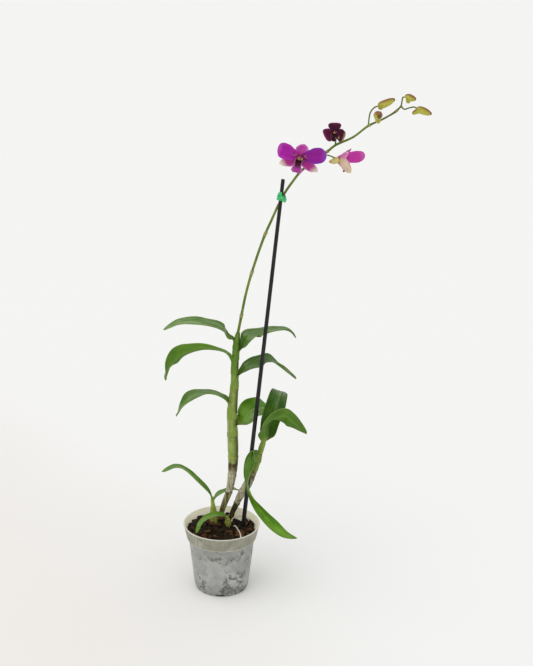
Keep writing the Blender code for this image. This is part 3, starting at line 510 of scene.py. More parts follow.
# %% Pot shell
POT_OUTSIDE = ((0.0345, 0.0), (0.0358, 0.0008), (0.0367, 0.0030), (0.0373, 0.0055),
               (0.0381, 0.0090), (0.0394, 0.0200), (0.0411, 0.0350), (0.0424, 0.0465),
               (0.0436, 0.0580), (0.0446, 0.0670), (0.0453, 0.0733), (0.0461, 0.0744),
               (0.0476, 0.0752), (0.0482, 0.0762), (0.0484, 0.0775), (0.0494, 0.0815),
               (0.0506, 0.0868), (0.0518, 0.0918), (0.0522, 0.0935), (0.0526, 0.0943),
               (0.0526, 0.0950), (0.0520, 0.0955))
POT_WALL = 0.0011
FOOT_RADIUS = 0.0365
SLOT_GAP, SLOT_TURN = math.pi / 3, math.radians(94)
SLOT_WIDTH, SLOT_LOW, SLOT_HIGH, SLOT_PRESS, SLOT_EDGE = 0.0065, 0.0006, 0.0034, 0.0009, 0.0005


def pot_shell(sides=180):
    """Radius and height follow one closed profile while the angle goes once round. Near each
    of the six drain slots the foot is pressed in by 0.9 mm."""
    outer = np.array(POT_OUTSIDE)
    profile = [(0.0, 0.0), *[(r, 0.0) for r in (0.012, 0.024, 0.033)]]
    outside = [*profile, *outer]
    inside = [(r - POT_WALL, max(h, POT_WALL)) for r, h in outer[::-1][1:]]
    inside = [(0.0511, 0.0953), *inside[1:], (0.020, POT_WALL), (0.0, POT_WALL)]
    line = np.array(outside + inside)
    steps = np.linspace(0, len(line) - 1, 3 * (len(line) - 1) + 1)
    radius = np.interp(steps, np.arange(len(line)), line[:, 0])
    height = np.interp(steps, np.arange(len(line)), line[:, 1])
    wall_side = (steps > len(outside) - 0.5).astype(float)
    angle = np.linspace(0, math.tau, sides + 1)
    nearest = np.abs((angle + SLOT_TURN + SLOT_GAP / 2) % SLOT_GAP - SLOT_GAP / 2)
    across = 1 - ease(nearest * FOOT_RADIUS, SLOT_WIDTH - 0.0006, SLOT_WIDTH)
    up = (ease(height, SLOT_LOW, SLOT_LOW + SLOT_EDGE)
          * (1 - ease(height, SLOT_HIGH - SLOT_EDGE, SLOT_HIGH)))
    outer_wall = (wall_side < 0.5) & (radius > 0.0340)
    # the slot mask presses the foot in and also marks where the slots are painted dark as shade
    slot = (up * outer_wall)[:, None] * across[None, :]
    r = radius[:, None] - SLOT_PRESS * slot
    grid = np.stack([r * np.cos(angle), r * np.sin(angle), height[:, None] + 0 * r], -1)
    # where the rim highlight is painted: the rim top, and the step under the outer collar
    lip = (ease(height, 0.0940, 0.0948) + 0.8 * (1 - wall_side)
           * ease(height, 0.0740, 0.0746) * (1 - ease(height, 0.0758, 0.0766)))
    return grid, wall_side[:, None] + 0 * r, np.clip(lip, 0, 1)[:, None] + 0 * r, slot


grid, lining_mark, rim_highlight_mark, slot_shade_mark = pot_shell()
pot = Shape()
pot.patch(grid, side=lining_mark, tone=rim_highlight_mark, clasp=slot_shade_mark)
pot.build("pot_shell", [pot_plastic], "pot", "clear_plastic", sharp=50)

# %% [markdown]
# ## Bark
# Orchids are potted in loose chips of fir bark, nearly black when damp and red-brown where a
# face has dried. Each chip is a box with softened corners: a sphere whose sine and cosine are
# raised to a small power, then dented by waves. All chips are one array, placed with a seed.

# %% Bark paint
bark_paint = Paint("bark_chip", Specular_IOR_Level=0.12)
grain = bark_paint.noise(420, 6, 0.65, 0.6)
patch = bark_paint.noise(95, 3, 0.5)
moss = bark_paint.noise(60, 4, 0.6).ease(0.58, 0.68)
fleck = bark_paint.noise(700, 2).ease(0.66, 0.74)
flake = bark_paint.cells(300)
damp = grain.blend(0.35, 0.7, (16, 12, 6), (48, 35, 18))
damp = bark_paint.mix(moss * 0.55, damp, (66, 66, 22))
dry = grain.blend(0.3, 0.7, (66, 40, 22), (120, 76, 48))
skin = (bark_paint.mark("tone") + (patch - 0.5) * 1.3).blend(0.60, 0.92, damp, dry)
skin = bark_paint.mix(fleck * 0.5, skin, (164, 132, 104))
bark_skin = bark_paint.wear(Base_Color=skin, Roughness=0.95 - grain * 0.45,
                            Normal=bark_paint.relief(grain + flake * 0.5, 0.0012, 0.9))
print("bark:", len(bark_paint.tree.nodes), "nodes")

# %% Bark chips
BARK_TOP = 0.0830
CHIPS = 150
HEAP_RADIUS = 0.0435
CHIP_LOW, CHIP_HIGH = 0.0765, 0.0893
GOLDEN_ANGLE = 2.39996
rng = np.random.default_rng(11)


def softened_boxes(sizes, rows, columns, bluntness):
    """x = a c(v)^p c(u)^p, y = b c(v)^p s(u)^p, z = h s(v)^p for each chip's three sizes."""
    v = np.linspace(-math.pi / 2, math.pi / 2, rows)[None, :, None]
    u = np.linspace(0, math.tau, columns + 1)[None, None, :]

    def power(value):
        return np.sign(value) * np.abs(value) ** bluntness

    a, b, h = (sizes[:, k, None, None] / 2 for k in range(3))
    flat = np.abs(np.cos(v)) ** bluntness
    return np.stack([a * flat * power(np.cos(u)), b * flat * power(np.sin(u)),
                     h * power(np.sin(v)) + 0 * u], -1)


def turned(points, spin, tip, lean):
    """Turns each chip about Z by spin after tipping it about X and leaning it about Y."""
    cx, sx, cy, sy, cz, sz = (wave(turn)[:, None, None] for turn in (tip, lean, spin)
                              for wave in (np.cos, np.sin))
    x, y, z = points[..., 0], points[..., 1], points[..., 2]
    y, z = y * cx - z * sx, y * sx + z * cx
    x, z = x * cy + z * sy, z * cy - x * sy
    return np.stack([x * cz - y * sz, x * sz + y * cz, z], -1)


share = (np.arange(CHIPS) + 0.5) / CHIPS
sizes = np.stack([rng.uniform(0.009, 0.030, CHIPS), rng.uniform(0.006, 0.014, CHIPS),
                  rng.uniform(0.0024, 0.0062, CHIPS)], 1)
chips = softened_boxes(sizes, 10, 16, 0.5)
wave = rng.uniform(200, 620, (CHIPS, 3, 3))
phase = rng.uniform(0, math.tau, (CHIPS, 3))
dent = sum(np.sin((chips * wave[:, k, None, None]).sum(-1) + phase[:, k, None, None])
           for k in range(3))
chips = chips * (1 + 0.10 * dent[..., None])
chips = turned(chips, rng.uniform(0, math.tau, CHIPS), rng.normal(0, 0.46, CHIPS),
               rng.normal(0, 0.40, CHIPS))
radius = HEAP_RADIUS * np.sqrt(share)
angle = np.arange(CHIPS) * GOLDEN_ANGLE + rng.uniform(-0.4, 0.4, CHIPS)
heap = 0.0030 * np.sin(angle - math.pi / 4) * share + 0.0012 * np.sin(radius * 300)
middle = np.stack([radius * np.cos(angle), radius * np.sin(angle),
                   BARK_TOP + rng.uniform(-0.0030, 0.0030, CHIPS) + heap], 1)
chips = chips + middle[:, None, None]
ceiling = CHIP_HIGH - 0.0020 * ease(chips[..., 0], 0.002, 0.012)
chips[..., 2] = np.clip(chips[..., 2], CHIP_LOW, ceiling)
reach = np.hypot(chips[..., 0], chips[..., 1])
limit = np.interp(chips[..., 2], (CHIP_LOW, 0.0900), (0.0458, 0.0478))
chips[..., :2] *= np.minimum(1, limit / np.maximum(reach, 1e-6))[..., None]

bark = Shape()
for chip, dryness in zip(chips, rng.uniform(0.0, 1.0, CHIPS) ** 1.5):
    bark.patch(chip, tone=dryness)

core_angle = np.linspace(0, math.tau, 73)
core_line = np.array([(0.0, 0.0800), (0.015, 0.0800), (0.030, 0.0800), (0.0448, 0.0796),
                      (0.0438, 0.0745), (0.0419, 0.0580), (0.0394, 0.0350), (0.0364, 0.0090),
                      (0.0348, 0.0030), (0.0, 0.0022)])
rough = np.sin(core_angle * 7)[None, :] * 0.0002
core_radius = core_line[:, :1] + rough * (core_line[:, :1] > 0)
core = np.stack([core_radius * np.cos(core_angle), core_radius * np.sin(core_angle),
                 core_line[:, 1:] + 0 * rough], -1)
core[:, -1] = core[:, 0]
bark.patch(core, tone=0.1)
bark.build("bark_chips", [bark_skin], "bark_medium", "bark", sharp=60)

# %% [markdown]
# ## Canes
# A dendrobium stores water in its canes. The upper joints are still green and wrapped by the
# green sheaths of living leaves. Lower down the old sheaths have dried to a thin grey paper,
# streaked brown. Both canes are tubes whose radius swells a little at each joint, and their
# colour is painted by height, because that is how the sheaths age. Their side turned away from
# the light is painted darker as shade, and dark streaks on the green are painted shadows of the
# sheath edges.

# %% Cane paint


def cane_paint(name, dry_top, base_top, rings, green, shaded, foot):
    """Green above dry_top, a scuffed brown band just under it, then paper down to base_top
    and streaked olive at the foot. Rings are height, strength and colour. Painted shade darkens
    the side turned away from the light on green, paper and foot alike, and the shaded colour
    also lays dark streaks on the green as painted shadows of the sheath edges."""
    paint = Paint(name, Specular_IOR_Level=0.22)
    z, shade_side = paint.height(), paint.mark("side")
    fibre = paint.fibres(700, 45, 4, 0.6)
    strand = paint.fibres(300, 22, 3, 0.6)
    mottle = paint.noise(120, 5, 0.65)
    ragged = z + (mottle - 0.5) * 0.016 + (strand - 0.5) * 0.012
    foot_line = z + (strand - 0.5) * 0.012
    living = paint.coats(mottle.blend(0.3, 0.7, *green),
                         (strand.ease(0.50, 0.75) * 0.35, (170, 180, 104)),
                         # painted shadows: dark streaks of the shaded colour where sheath edges
                         # cast shade
                         ((1 - strand.ease(0.34, 0.46)) * 0.30, shaded),
                         ((z + (strand - 0.5) * 0.06).ease(0.275, 0.335) * 0.8, (84, 126, 32)),
                         # painted shade on the side turned away from the light
                         (shade_side.ease(-0.40, 0.65) * 0.88, shaded))
    scuffed = mottle.blend(0.42, 0.60, (70, 60, 24), (150, 144, 98))
    paper = paint.coats(fibre.blend(0.35, 0.65, (150, 144, 108), (202, 199, 174)),
                        (strand.ease(0.56, 0.66) * 0.6, (112, 102, 58)),
                        (mottle.ease(0.56, 0.66) * 0.6, (88, 84, 42)),
                        # painted shade on the paper's side away from the light
                        (shade_side.ease(-0.2, 0.85) * 0.7, (88, 86, 48)))
    # painted shade on the foot's side away from the light
    base = paint.mix(shade_side.ease(0.0, 1.0) * 0.5, strand.blend(0.40, 0.62, *foot), foot[0])
    skin = paint.coats(living,
                       (1 - ragged.ease(dry_top - 0.002, dry_top + 0.002), scuffed),
                       (1 - ragged.ease(dry_top - 0.022, dry_top - 0.009), paper),
                       (1 - foot_line.ease(base_top - 0.002, base_top + 0.002), base))
    for height, strength, colour in rings:
        edge = 1 - ((z - height + (mottle - 0.5) * 0.003) * 1000).size().ease(0.15, 1.0)
        skin = paint.mix(edge * strength, skin, colour)
    dry = 1 - ragged.ease(dry_top - 0.010, dry_top)
    return paint.wear(Base_Color=skin, Roughness=0.36 + dry * 0.34,
                      Normal=paint.relief(fibre + mottle * 0.6, 0.0005, 0.5))


BROWN, FAINT, YELLOW = (74, 54, 22), (128, 128, 54), (190, 170, 50)
tall_skin = cane_paint("tall_cane_skin", 0.181, 0.131,
                       ((0.219, 0.65, BROWN), (0.2215, 0.3, YELLOW), (0.1875, 0.35, YELLOW),
                        (0.1840, 0.30, BROWN), (0.131, 0.85, BROWN), (0.2865, 0.30, FAINT),
                        (0.311, 0.3, FAINT), (0.333, 0.3, FAINT)),
                       ((124, 144, 62), (152, 168, 92)), (66, 84, 18),
                       ((88, 88, 40), (166, 160, 120)))
short_skin = cane_paint("short_cane_skin", 0.168, 0.113,
                        ((0.1945, 0.8, YELLOW), (0.1900, 0.9, BROWN), (0.154, 0.3, BROWN),
                         (0.132, 0.4, BROWN)),
                        ((136, 150, 56), (164, 172, 88)), (92, 108, 36),
                        ((52, 48, 18), (96, 86, 44)))
print("cane paints made")

# %% Canes
TALL_CANE = ((-0.0040, 0.0370, 0.0640, 0.0032), (-0.0001, 0.0335, 0.0940, 0.0036),
             (0.0041, 0.0290, 0.1110, 0.0042), (0.0096, 0.0250, 0.1283, 0.0047),
             (0.0130, 0.0215, 0.1467, 0.0054), (0.0157, 0.0185, 0.1738, 0.0066),
             (0.0156, 0.0165, 0.2045, 0.0074), (0.0144, 0.0150, 0.2360, 0.0068),
             (0.0147, 0.0140, 0.2597, 0.0068), (0.0173, 0.0125, 0.2934, 0.0054),
             (0.0176, 0.0115, 0.3151, 0.0050), (0.0185, 0.0105, 0.3366, 0.0047),
             (0.0203, 0.0090, 0.3581, 0.0041), (0.0216, 0.0080, 0.3681, 0.0028))
SHORT_CANE = ((0.0125, 0.0355, 0.0640, 0.0034), (0.0150, 0.0333, 0.0930, 0.0036),
              (0.0200, 0.0289, 0.1079, 0.0041), (0.0253, 0.0245, 0.1228, 0.0050),
              (0.0302, 0.0224, 0.1334, 0.0056), (0.0352, 0.0205, 0.1426, 0.0060),
              (0.0406, 0.0186, 0.1561, 0.0056), (0.0440, 0.0170, 0.1660, 0.0050),
              (0.0482, 0.0155, 0.1790, 0.0044), (0.0518, 0.0148, 0.1904, 0.0038),
              (0.0552, 0.0145, 0.2039, 0.0034), (0.0585, 0.0145, 0.2127, 0.0026))
TALL_JOINTS = (0.131, 0.158, 0.187, 0.219, 0.243, 0.287, 0.311, 0.333, 0.349)
SHORT_JOINTS = (0.112, 0.132, 0.154, 0.180, 0.198)


def cane_tube(cane, joints):
    """Radius = the table's, plus a narrow bell at each joint and a slight dip above it."""
    line = smooth_curve(cane, 300)
    radii = line[:, 3].copy()
    for height in joints:
        gap = (line[:, 2] - height) / 0.0014
        radii += 0.00045 * np.exp(-gap**2) - 0.00025 * np.exp(-((gap - 2.6) / 1.6) ** 2)
    return line[:, :3], radii


def fine_ribs(angle, along):
    """Shallow lengthwise ribs: 1 plus a small mix of cosines round the stem."""
    return 1 + 0.012 * np.cos(9 * angle + 2 * along) + 0.008 * np.cos(14 * angle - 5 * along)


for node, cane, joints, skin in (("tall_cane", TALL_CANE, TALL_JOINTS, tall_skin),
                                 ("short_cane", SHORT_CANE, SHORT_JOINTS, short_skin)):
    stem = Shape()
    # the side mark measures facing toward the right, away from the light, where the cane paint lays
    # painted shade
    stem.tube(*cane_tube(cane, joints), 40, ridges=fine_ribs, side_toward=(0.9, 0.3, 0.0))
    stem.build(node + "_stem", [skin], node, "cane")

# %% [markdown]
# ## Leaves
# Each leaf starts as a sheath clasped round the cane, opens at its mouth into a shallow
# gutter and runs out to a blunt, slightly uneven tip. Parallel veins run its whole length,
# with one deeper line down the middle. The blade is an arc of changing radius carried along
# its midline, with the crease added as a narrow dip, so the veins can follow the chart.

# %% Leaf paint


def leaf_paint(name):
    """Green by the tone mark; veins follow the chart; a painted sheen greys what faces the sky,
    standing in for its reflection; the underside is paler and the sheath takes the cane's own
    green."""
    paint = Paint(name, Specular_IOR_Level=0.16, Coat_Roughness=0.24)
    across, along = paint.chart()
    tone, under, clasp, sky = (paint.mark(mark) for mark in ("tone", "side", "clasp", "sky"))
    streak = paint.noise(1.0, at=paint.join(across * 22, along * 2.2))
    cloud = paint.noise(55, 4, 0.55)
    fleck = paint.noise(900, 2, 0.5)
    off = ((across - 0.5) * 2).size()
    veins = ((across * 108).sine() * 0.5 + 0.5) ** 3
    deep = cloud.blend(0.3, 0.7, (30, 66, 8), (48, 92, 14))
    fresh = cloud.blend(0.3, 0.7, (80, 134, 10), (112, 160, 30))
    # painted sheen: faces turned to the sky are greyed, standing in for the sky's reflection
    sheen = sky.ease(0.60, 1.0) * (0.08 + streak.ease(0.40, 0.65) * 0.42)
    green = paint.coats((tone + (streak - 0.5) * 0.9).blend(0.0, 1.0, deep, fresh),
                        (off.ease(0.3, 0.9) * 0.25, deep),
                        (veins * 0.12, (136, 168, 60)),
                        ((1 - off.ease(0.0, 0.07)) * 0.34, (140, 174, 70)),
                        (off.ease(0.93, 1.0) * 0.60, (166, 188, 84)),
                        (under * 0.20, (118, 148, 72)),
                        (sheen, (156, 172, 134)),
                        (fleck.ease(0.70, 0.78) * 0.2, (180, 190, 130)))
    sheath = (streak + veins * 0.3).blend(0.35, 0.9, (112, 136, 48), (152, 172, 88))
    sheath = paint.mix(paint.height().ease(0.275, 0.335) * 0.8, sheath, (78, 122, 28))
    rim = clasp.ease(0.02, 0.5) * (1 - clasp.ease(0.5, 0.98))
    skin = paint.mix(rim * 0.18, clasp.blend(0.1, 0.9, green, sheath), (74, 96, 30))
    wax = (1 - under) * (1 - clasp) * ((streak + cloud) * 0.5).ease(0.46, 0.62) * 0.7
    return paint.wear(Base_Color=skin, Roughness=0.34 + cloud * 0.16 + under * 0.14,
                      Coat_Weight=wax, Normal=paint.relief(veins * 0.5 + streak * 0.6, 0.0004, 0.4))


leaf_skin = leaf_paint("leaf_skin")
print("leaf paint made")

# %% Leaf table
LEAF_THICKNESS = 0.0009
SHEATH_GAP = 0.0009
FLUSH_GAP = 0.0004
FOOT_WRAP, MOUTH_WRAP = math.radians(165), math.radians(65)
GUTTER_RADIUS = 0.030
LEAF_STEPS = 16
MOUTH_CROWDING = 0.6
OPENING_SHARE = 0.14
THIN_SHEATH = 0.0003
CREASE_DEPTH, CREASE_WIDTH, RIPPLE_HEIGHT = 0.0007, 0.0011, 0.0005
LEAVES = {
    "leaf_tall_1_left": dict(
        cane="tall", sheath=(0.346, 0.3575), side=180, width=0.0312, tone=(0.35, 0.55),
        blade=((0.0084, 0.0088, 0.3607), (0.0009, 0.0036, 0.3749), (-0.0510, 0.0123, 0.3808),
               (-0.0772, 0.0148, 0.3704)),
        rolls=(-3, -7, -9)),
    "leaf_tall_2_right": dict(
        cane="tall", sheath=(0.330, 0.3415), side=0, width=0.0302, tone=(0.45, 0.30),
        blade=((0.0358, 0.0108, 0.3615), (0.0439, 0.0220, 0.3605), (0.0890, 0.0281, 0.3658),
               (0.0995, 0.0266, 0.3557)),
        rolls=(49, 28, 29)),
    "leaf_tall_3_left": dict(
        cane="tall", sheath=(0.311, 0.3265), side=180, width=0.0312, tone=(0.75, 0.50),
        blade=((0.0073, 0.0131, 0.3378), (-0.0175, 0.0056, 0.3466), (-0.0520, 0.0042, 0.3413),
               (-0.0662, -0.0053, 0.3305), (-0.0748, -0.0057, 0.3070)),
        rolls=(28, 50, 77, -1)),
    "leaf_tall_4_right": dict(
        cane="tall", sheath=(0.289, 0.3065), side=0, width=0.0272, tone=(0.45, 0.30),
        blade=((0.0333, 0.0113, 0.3183), (0.0522, 0.0236, 0.3215), (0.0634, 0.0221, 0.3257),
               (0.1009, 0.0215, 0.2990)),
        rolls=(42, -2, 18)),
    "leaf_tall_5_left": dict(
        cane="tall", sheath=(0.2455, 0.2670), side=185, width=0.026, tone=(0.50, 0.45),
        blade=((0.002, 0.0095, 0.2765), (-0.018, 0.005, 0.2845), (-0.043, -0.002, 0.2800),
               (-0.061, -0.011, 0.2580)),
        rolls=(28, 10, 55)),
    "leaf_tall_6_right": dict(
        cane="tall", sheath=(0.2205, 0.2350), side=15, width=0.0317, tone=(0.90, 0.80),
        blade=((0.0317, 0.0184, 0.2424), (0.0391, 0.0322, 0.2495), (0.0538, 0.0461, 0.2484),
               (0.0668, 0.0566, 0.2431)),
        rolls=(46, 57, 38)),
    "leaf_short_1_back": dict(
        cane="short", sheath=(0.2000, 0.2110), side=90, width=0.0285, tone=(0.20, 0.15),
        blade=((0.0635, 0.0186, 0.2246), (0.0671, 0.0188, 0.2386), (0.0722, 0.0213, 0.2560),
               (0.0775, 0.0311, 0.2725), (0.0818, 0.0517, 0.2700)),
        rolls=(-30, -2, -20)),
    "leaf_short_2_front": dict(
        cane="short", sheath=(0.2010, 0.2095), side=-90, width=0.0225, tone=(0.40, 0.30),
        blade=((0.0580, 0.0075, 0.2275), (0.0648, -0.0039, 0.2483), (0.0836, -0.0053, 0.2557),
               (0.0917, -0.0129, 0.2527), (0.1135, -0.014, 0.2340)),
        rolls=(70, -45, 9)),
    "leaf_short_3_hanging": dict(
        cane="short", sheath=(0.1680, 0.1935), side=-110, width=0.0187, tone=(0.25, 0.85),
        blade=((0.0483, 0.0039, 0.1873), (0.0429, -0.0051, 0.2072), (0.0384, -0.0064, 0.1872),
               (0.0350, -0.0197, 0.1631), (0.0486, -0.0171, 0.1297), (0.0834, -0.0296, 0.0949),
               (0.1029, -0.0256, 0.0840)),
        rolls=(-207, -151, -187, -231, -197)),
}
print(len(LEAVES), "leaves")

# %% Leaf blades


def cane_at(cane, height):
    """Middle and radius of a cane at a height."""
    line = smooth_curve(cane, 200)
    return np.array([np.interp(height, line[:, 2], column) for column in line.T])


def blade_outline(s):
    """Half width over the fullest: narrow at the mouth, widest at 0.45, falling to a tip."""
    rise = 1 - 0.45 * (1 - np.minimum(s / 0.45, 1)) ** 2
    fall = np.sqrt(1 - 0.985 * np.clip((s - 0.45) / 0.55, 0, 1) ** 2.6)
    return rise * fall


def leaf_surface(leaf, rows=180, columns=31):
    """Rows of arcs. In the sheath they lie 0.4 mm off the cane and reach nearly round it;
    past the mouth their radius grows to the gutter's. A bell 1 mm wide dips down the middle
    as the crease, and ripples grow with the cube of the distance from it."""
    cane = TALL_CANE if leaf["cane"] == "tall" else SHORT_CANE
    side = math.radians(leaf["side"])
    outward = np.array([math.cos(side), math.sin(side), 0.0])
    clasp = SHEATH_GAP + LEAF_THICKNESS / 2
    foot = [cane_at(cane, height) for height in np.linspace(*leaf["sheath"], 3)]
    sheath = [middle[:3] + outward * (middle[3] + clasp) for middle in foot]
    radius = max(middle[3] for middle in foot) + clasp
    even = np.linspace(0, 1, LEAF_STEPS)
    path = smooth_curve(np.vstack([sheath, leaf["blade"]]), LEAF_STEPS,
                        even + MOUTH_CROWDING * even * (even - 1) * (1 - even * 0.5))
    along = np.concatenate([[0], np.cumsum(np.linalg.norm(np.diff(path, axis=0), axis=1))])
    mouth = np.linalg.norm(np.diff(sheath, axis=0), axis=1).sum()
    s = np.clip((along - mouth) / (along[-1] - mouth), 0, 1)
    rolls = np.interp(s, np.linspace(0, 1, len(leaf["rolls"]) + 1), (0, *leaf["rolls"]))
    frames = fine_frames(path, -outward, np.radians(rolls), rows)
    along = np.maximum.accumulate(refine(along, rows))
    s = np.clip((along - mouth) / (along[-1] - mouth), 0, 1)
    opening = ease(s, 0, OPENING_SHARE)
    inside = np.clip(along / mouth, 0, 1)
    girth = np.interp(inside, (0, 0.5, 1), [middle[3] for middle in foot]) + FLUSH_GAP
    ring = girth + (radius - girth) * ease(s, 0, 0.05)
    wrap = FOOT_WRAP + (MOUTH_WRAP - FOOT_WRAP) * ease(inside, 0.1, 1.0)
    half = (1 - opening) * wrap * ring + opening * leaf["width"] / 2 * blade_outline(s)
    bend = 1 / ((1 - opening) / ring + opening / GUTTER_RADIUS)
    half *= round_end(s, 0.972)
    u = np.linspace(-1, 1, columns)[None, :]
    free = (opening * (1 - s**6))[:, None]
    crease = -CREASE_DEPTH * np.exp(-(u * half[:, None] / CREASE_WIDTH) ** 2) * opening[:, None]
    turn = leaf["width"] * 1000 + leaf["side"]
    ripple = RIPPLE_HEIGHT * np.sin(s[:, None] * 21 + 2.1 * u + turn) * np.abs(u) ** 3 * free
    inward = ((clasp - FLUSH_GAP) * (1 - ease(s, 0, 0.05)))[:, None]
    middle = arc_rows(frames, half, bend, columns, inward + crease + ripple)
    thickness = THIN_SHEATH + (LEAF_THICKNESS - THIN_SHEATH) * ease(s, 0.0, 0.2)
    return middle, thickness, s[:, None], (1 - opening)[:, None]


for name, leaf in LEAVES.items():
    middle, thickness, s, clasp = leaf_surface(leaf)
    blade = Shape()
    tone = leaf["tone"][0] + (leaf["tone"][1] - leaf["tone"][0]) * s
    blade.blade(middle, thickness, s, tone=tone, clasp=clasp)
    blade.build(name + "_blade", [leaf_skin], name, "leaf", sharp=75)

# %% [markdown]
# ## Young shoots
# Two new growths stand at the foot of the tall cane. Each is a small green bulb whose sheath
# is freckled red-brown, with one or two narrow soft leaves of a fresher green.

# %% Shoots
LEFT_BULB = ((-0.0100, 0.0200, 0.0660, 0.0035), (-0.0107, 0.0198, 0.0880, 0.0050),
             (-0.0112, 0.0198, 0.1000, 0.0048), (-0.0122, 0.0198, 0.1140, 0.0030),
             (-0.0132, 0.0199, 0.1250, 0.0020))
LEFT_LEAVES = (
    dict(blade=((-0.0126, 0.0198, 0.1180), (-0.0160, 0.0190, 0.1300), (-0.0330, 0.0160, 0.1510),
                (-0.0590, 0.0120, 0.1740), (-0.0820, 0.0080, 0.1685)),
         width=0.014, rolls=(0, -8, 6, 2), toward=(1.0, 0.0, 0.3)),
    dict(blade=((-0.0128, 0.0200, 0.1160), (-0.0090, 0.0230, 0.1220), (0.0030, 0.0330, 0.1265),
                (0.0190, 0.0355, 0.1290), (0.0262, 0.0365, 0.1255)),
         width=0.0125, rolls=(0, 30, 30, 13), toward=(-1.0, 0.0, 0.3)))
FRONT_BULB = ((0.0100, 0.0130, 0.0700, 0.0030), (0.0090, 0.0100, 0.0880, 0.0044),
              (0.0085, 0.0088, 0.0950, 0.0036), (0.0070, 0.0080, 0.1010, 0.0020))
FRONT_LEAVES = (
    dict(blade=((0.0080, 0.0083, 0.0975), (0.0030, 0.0050, 0.1045), (-0.0100, -0.004, 0.1095),
                (-0.0270, -0.018, 0.1060), (-0.0345, -0.030, 0.0950)),
         width=0.0092, rolls=(-50, -20, 0, 10), toward=(1.0, 0.5, 0.5)),)

bulb_paint = Paint("bulb_skin", Roughness=0.45, Specular_IOR_Level=0.25)
z = bulb_paint.height()
fibre = bulb_paint.fibres(900, 90)
freckle = bulb_paint.noise(620, 3, 0.6).ease(0.50, 0.60)
skin = bulb_paint.coats(fibre.blend(0.3, 0.7, (120, 146, 52), (164, 178, 84)),
                        (freckle * (1 - z.ease(0.101, 0.114)) * 0.8, (104, 56, 34)),
                        (1 - z.ease(0.080, 0.092), (128, 104, 62)))
bulb_skin = bulb_paint.wear(Base_Color=skin, Normal=bulb_paint.relief(fibre, 0.0004, 0.5))


def shoot_surface(leaf, rows=90, columns=15):
    """Arcs of three quarters of the width in radius, narrowed at the foot."""
    path = smooth_curve(leaf["blade"], 12)
    s = np.linspace(0, 1, 12)
    rolls = np.interp(s, np.linspace(0, 1, len(leaf["rolls"])), leaf["rolls"])
    frames = fine_frames(path, leaf["toward"], np.radians(rolls), rows)
    s = np.linspace(0, 1, rows)
    half = leaf["width"] / 2 * blade_outline(s) * (0.60 + 0.40 * ease(s, 0, 0.30))
    half *= round_end(s, 0.96)
    u = np.linspace(-1, 1, columns)[None, :]
    crease = -0.0005 * np.exp(-(u / 0.14) ** 2) * (1 - s[:, None] ** 8)
    ripple = 0.0004 * np.sin(s[:, None] * 17 + u) * np.abs(u) ** 3
    return arc_rows(frames, half, np.full(rows, leaf["width"] * 0.75), columns, crease + ripple), s


def sheath_steps(angle, along):
    """A bulb's radius falls by a few hundredths at two overlapping sheath edges."""
    slant = along + 0.04 * np.sin(angle + 1.0)
    return 1 + 0.10 * (1 - ease(slant, 0.50, 0.515)) + 0.07 * (1 - ease(slant, 0.72, 0.735))


for node, bulb, leaves in (("shoot_left", LEFT_BULB, LEFT_LEAVES),
                           ("shoot_front", FRONT_BULB, FRONT_LEAVES)):
    shoot = Shape()
    path, radii = stem_line(bulb, 70)
    shoot.tube(path, radii * 0.95, 36, slot=1, ridges=sheath_steps)
    for leaf in leaves:
        middle, s = shoot_surface(leaf)
        shoot.blade(middle, LEAF_THICKNESS, s[:, None], tone=0.62)
    shoot.build(node + "_growth", [leaf_skin, bulb_skin], node, "leaf", sharp=75)

# %% [markdown]
# ## The spike, its stalks and the buds
# The spike is a wiry green stem with a papery scale at each joint. Every bloom and bud hangs
# from it on a stalk of its own. A bud is three sepals still closed, so three shallow seams
# run to its tip, and the foot of the lip pushes out into a blunt chin behind it.

# %% Spike and stalks
SPIKE = ((0.0216, 0.0078, 0.3685, 0.0019), (0.0249, 0.0068, 0.3867, 0.0018),
         (0.0315, 0.0062, 0.4216, 0.0017), (0.0388, 0.0060, 0.4500, 0.0017),
         (0.0544, 0.0058, 0.4981, 0.0017), (0.0639, 0.0055, 0.5207, 0.0016),
         (0.0710, 0.0052, 0.5374, 0.0016), (0.0803, 0.0052, 0.5558, 0.0016),
         (0.0898, 0.0056, 0.5698, 0.0016), (0.1004, 0.0060, 0.5832, 0.0016),
         (0.1317, 0.0060, 0.6070, 0.0015), (0.1421, 0.0060, 0.6154, 0.0015),
         (0.1645, 0.0060, 0.6259, 0.0014), (0.1829, 0.0060, 0.6398, 0.0013),
         (0.1999, 0.0060, 0.6477, 0.0012), (0.2160, 0.0060, 0.6574, 0.0012),
         (0.2225, 0.0060, 0.6640, 0.0012))
SCALES = ((0.3900, 0.0060), (0.4480, 0.0065), (0.4995, 0.0065), (0.6070, 0.0030), (0.6398, 0.0025),
          (0.6574, 0.0025))
SCALE_THICKNESS = 0.0003
JOINT_SWELL, JOINT_REACH = 0.0003, 0.0025
PEDICEL_RADIUS = 0.0009
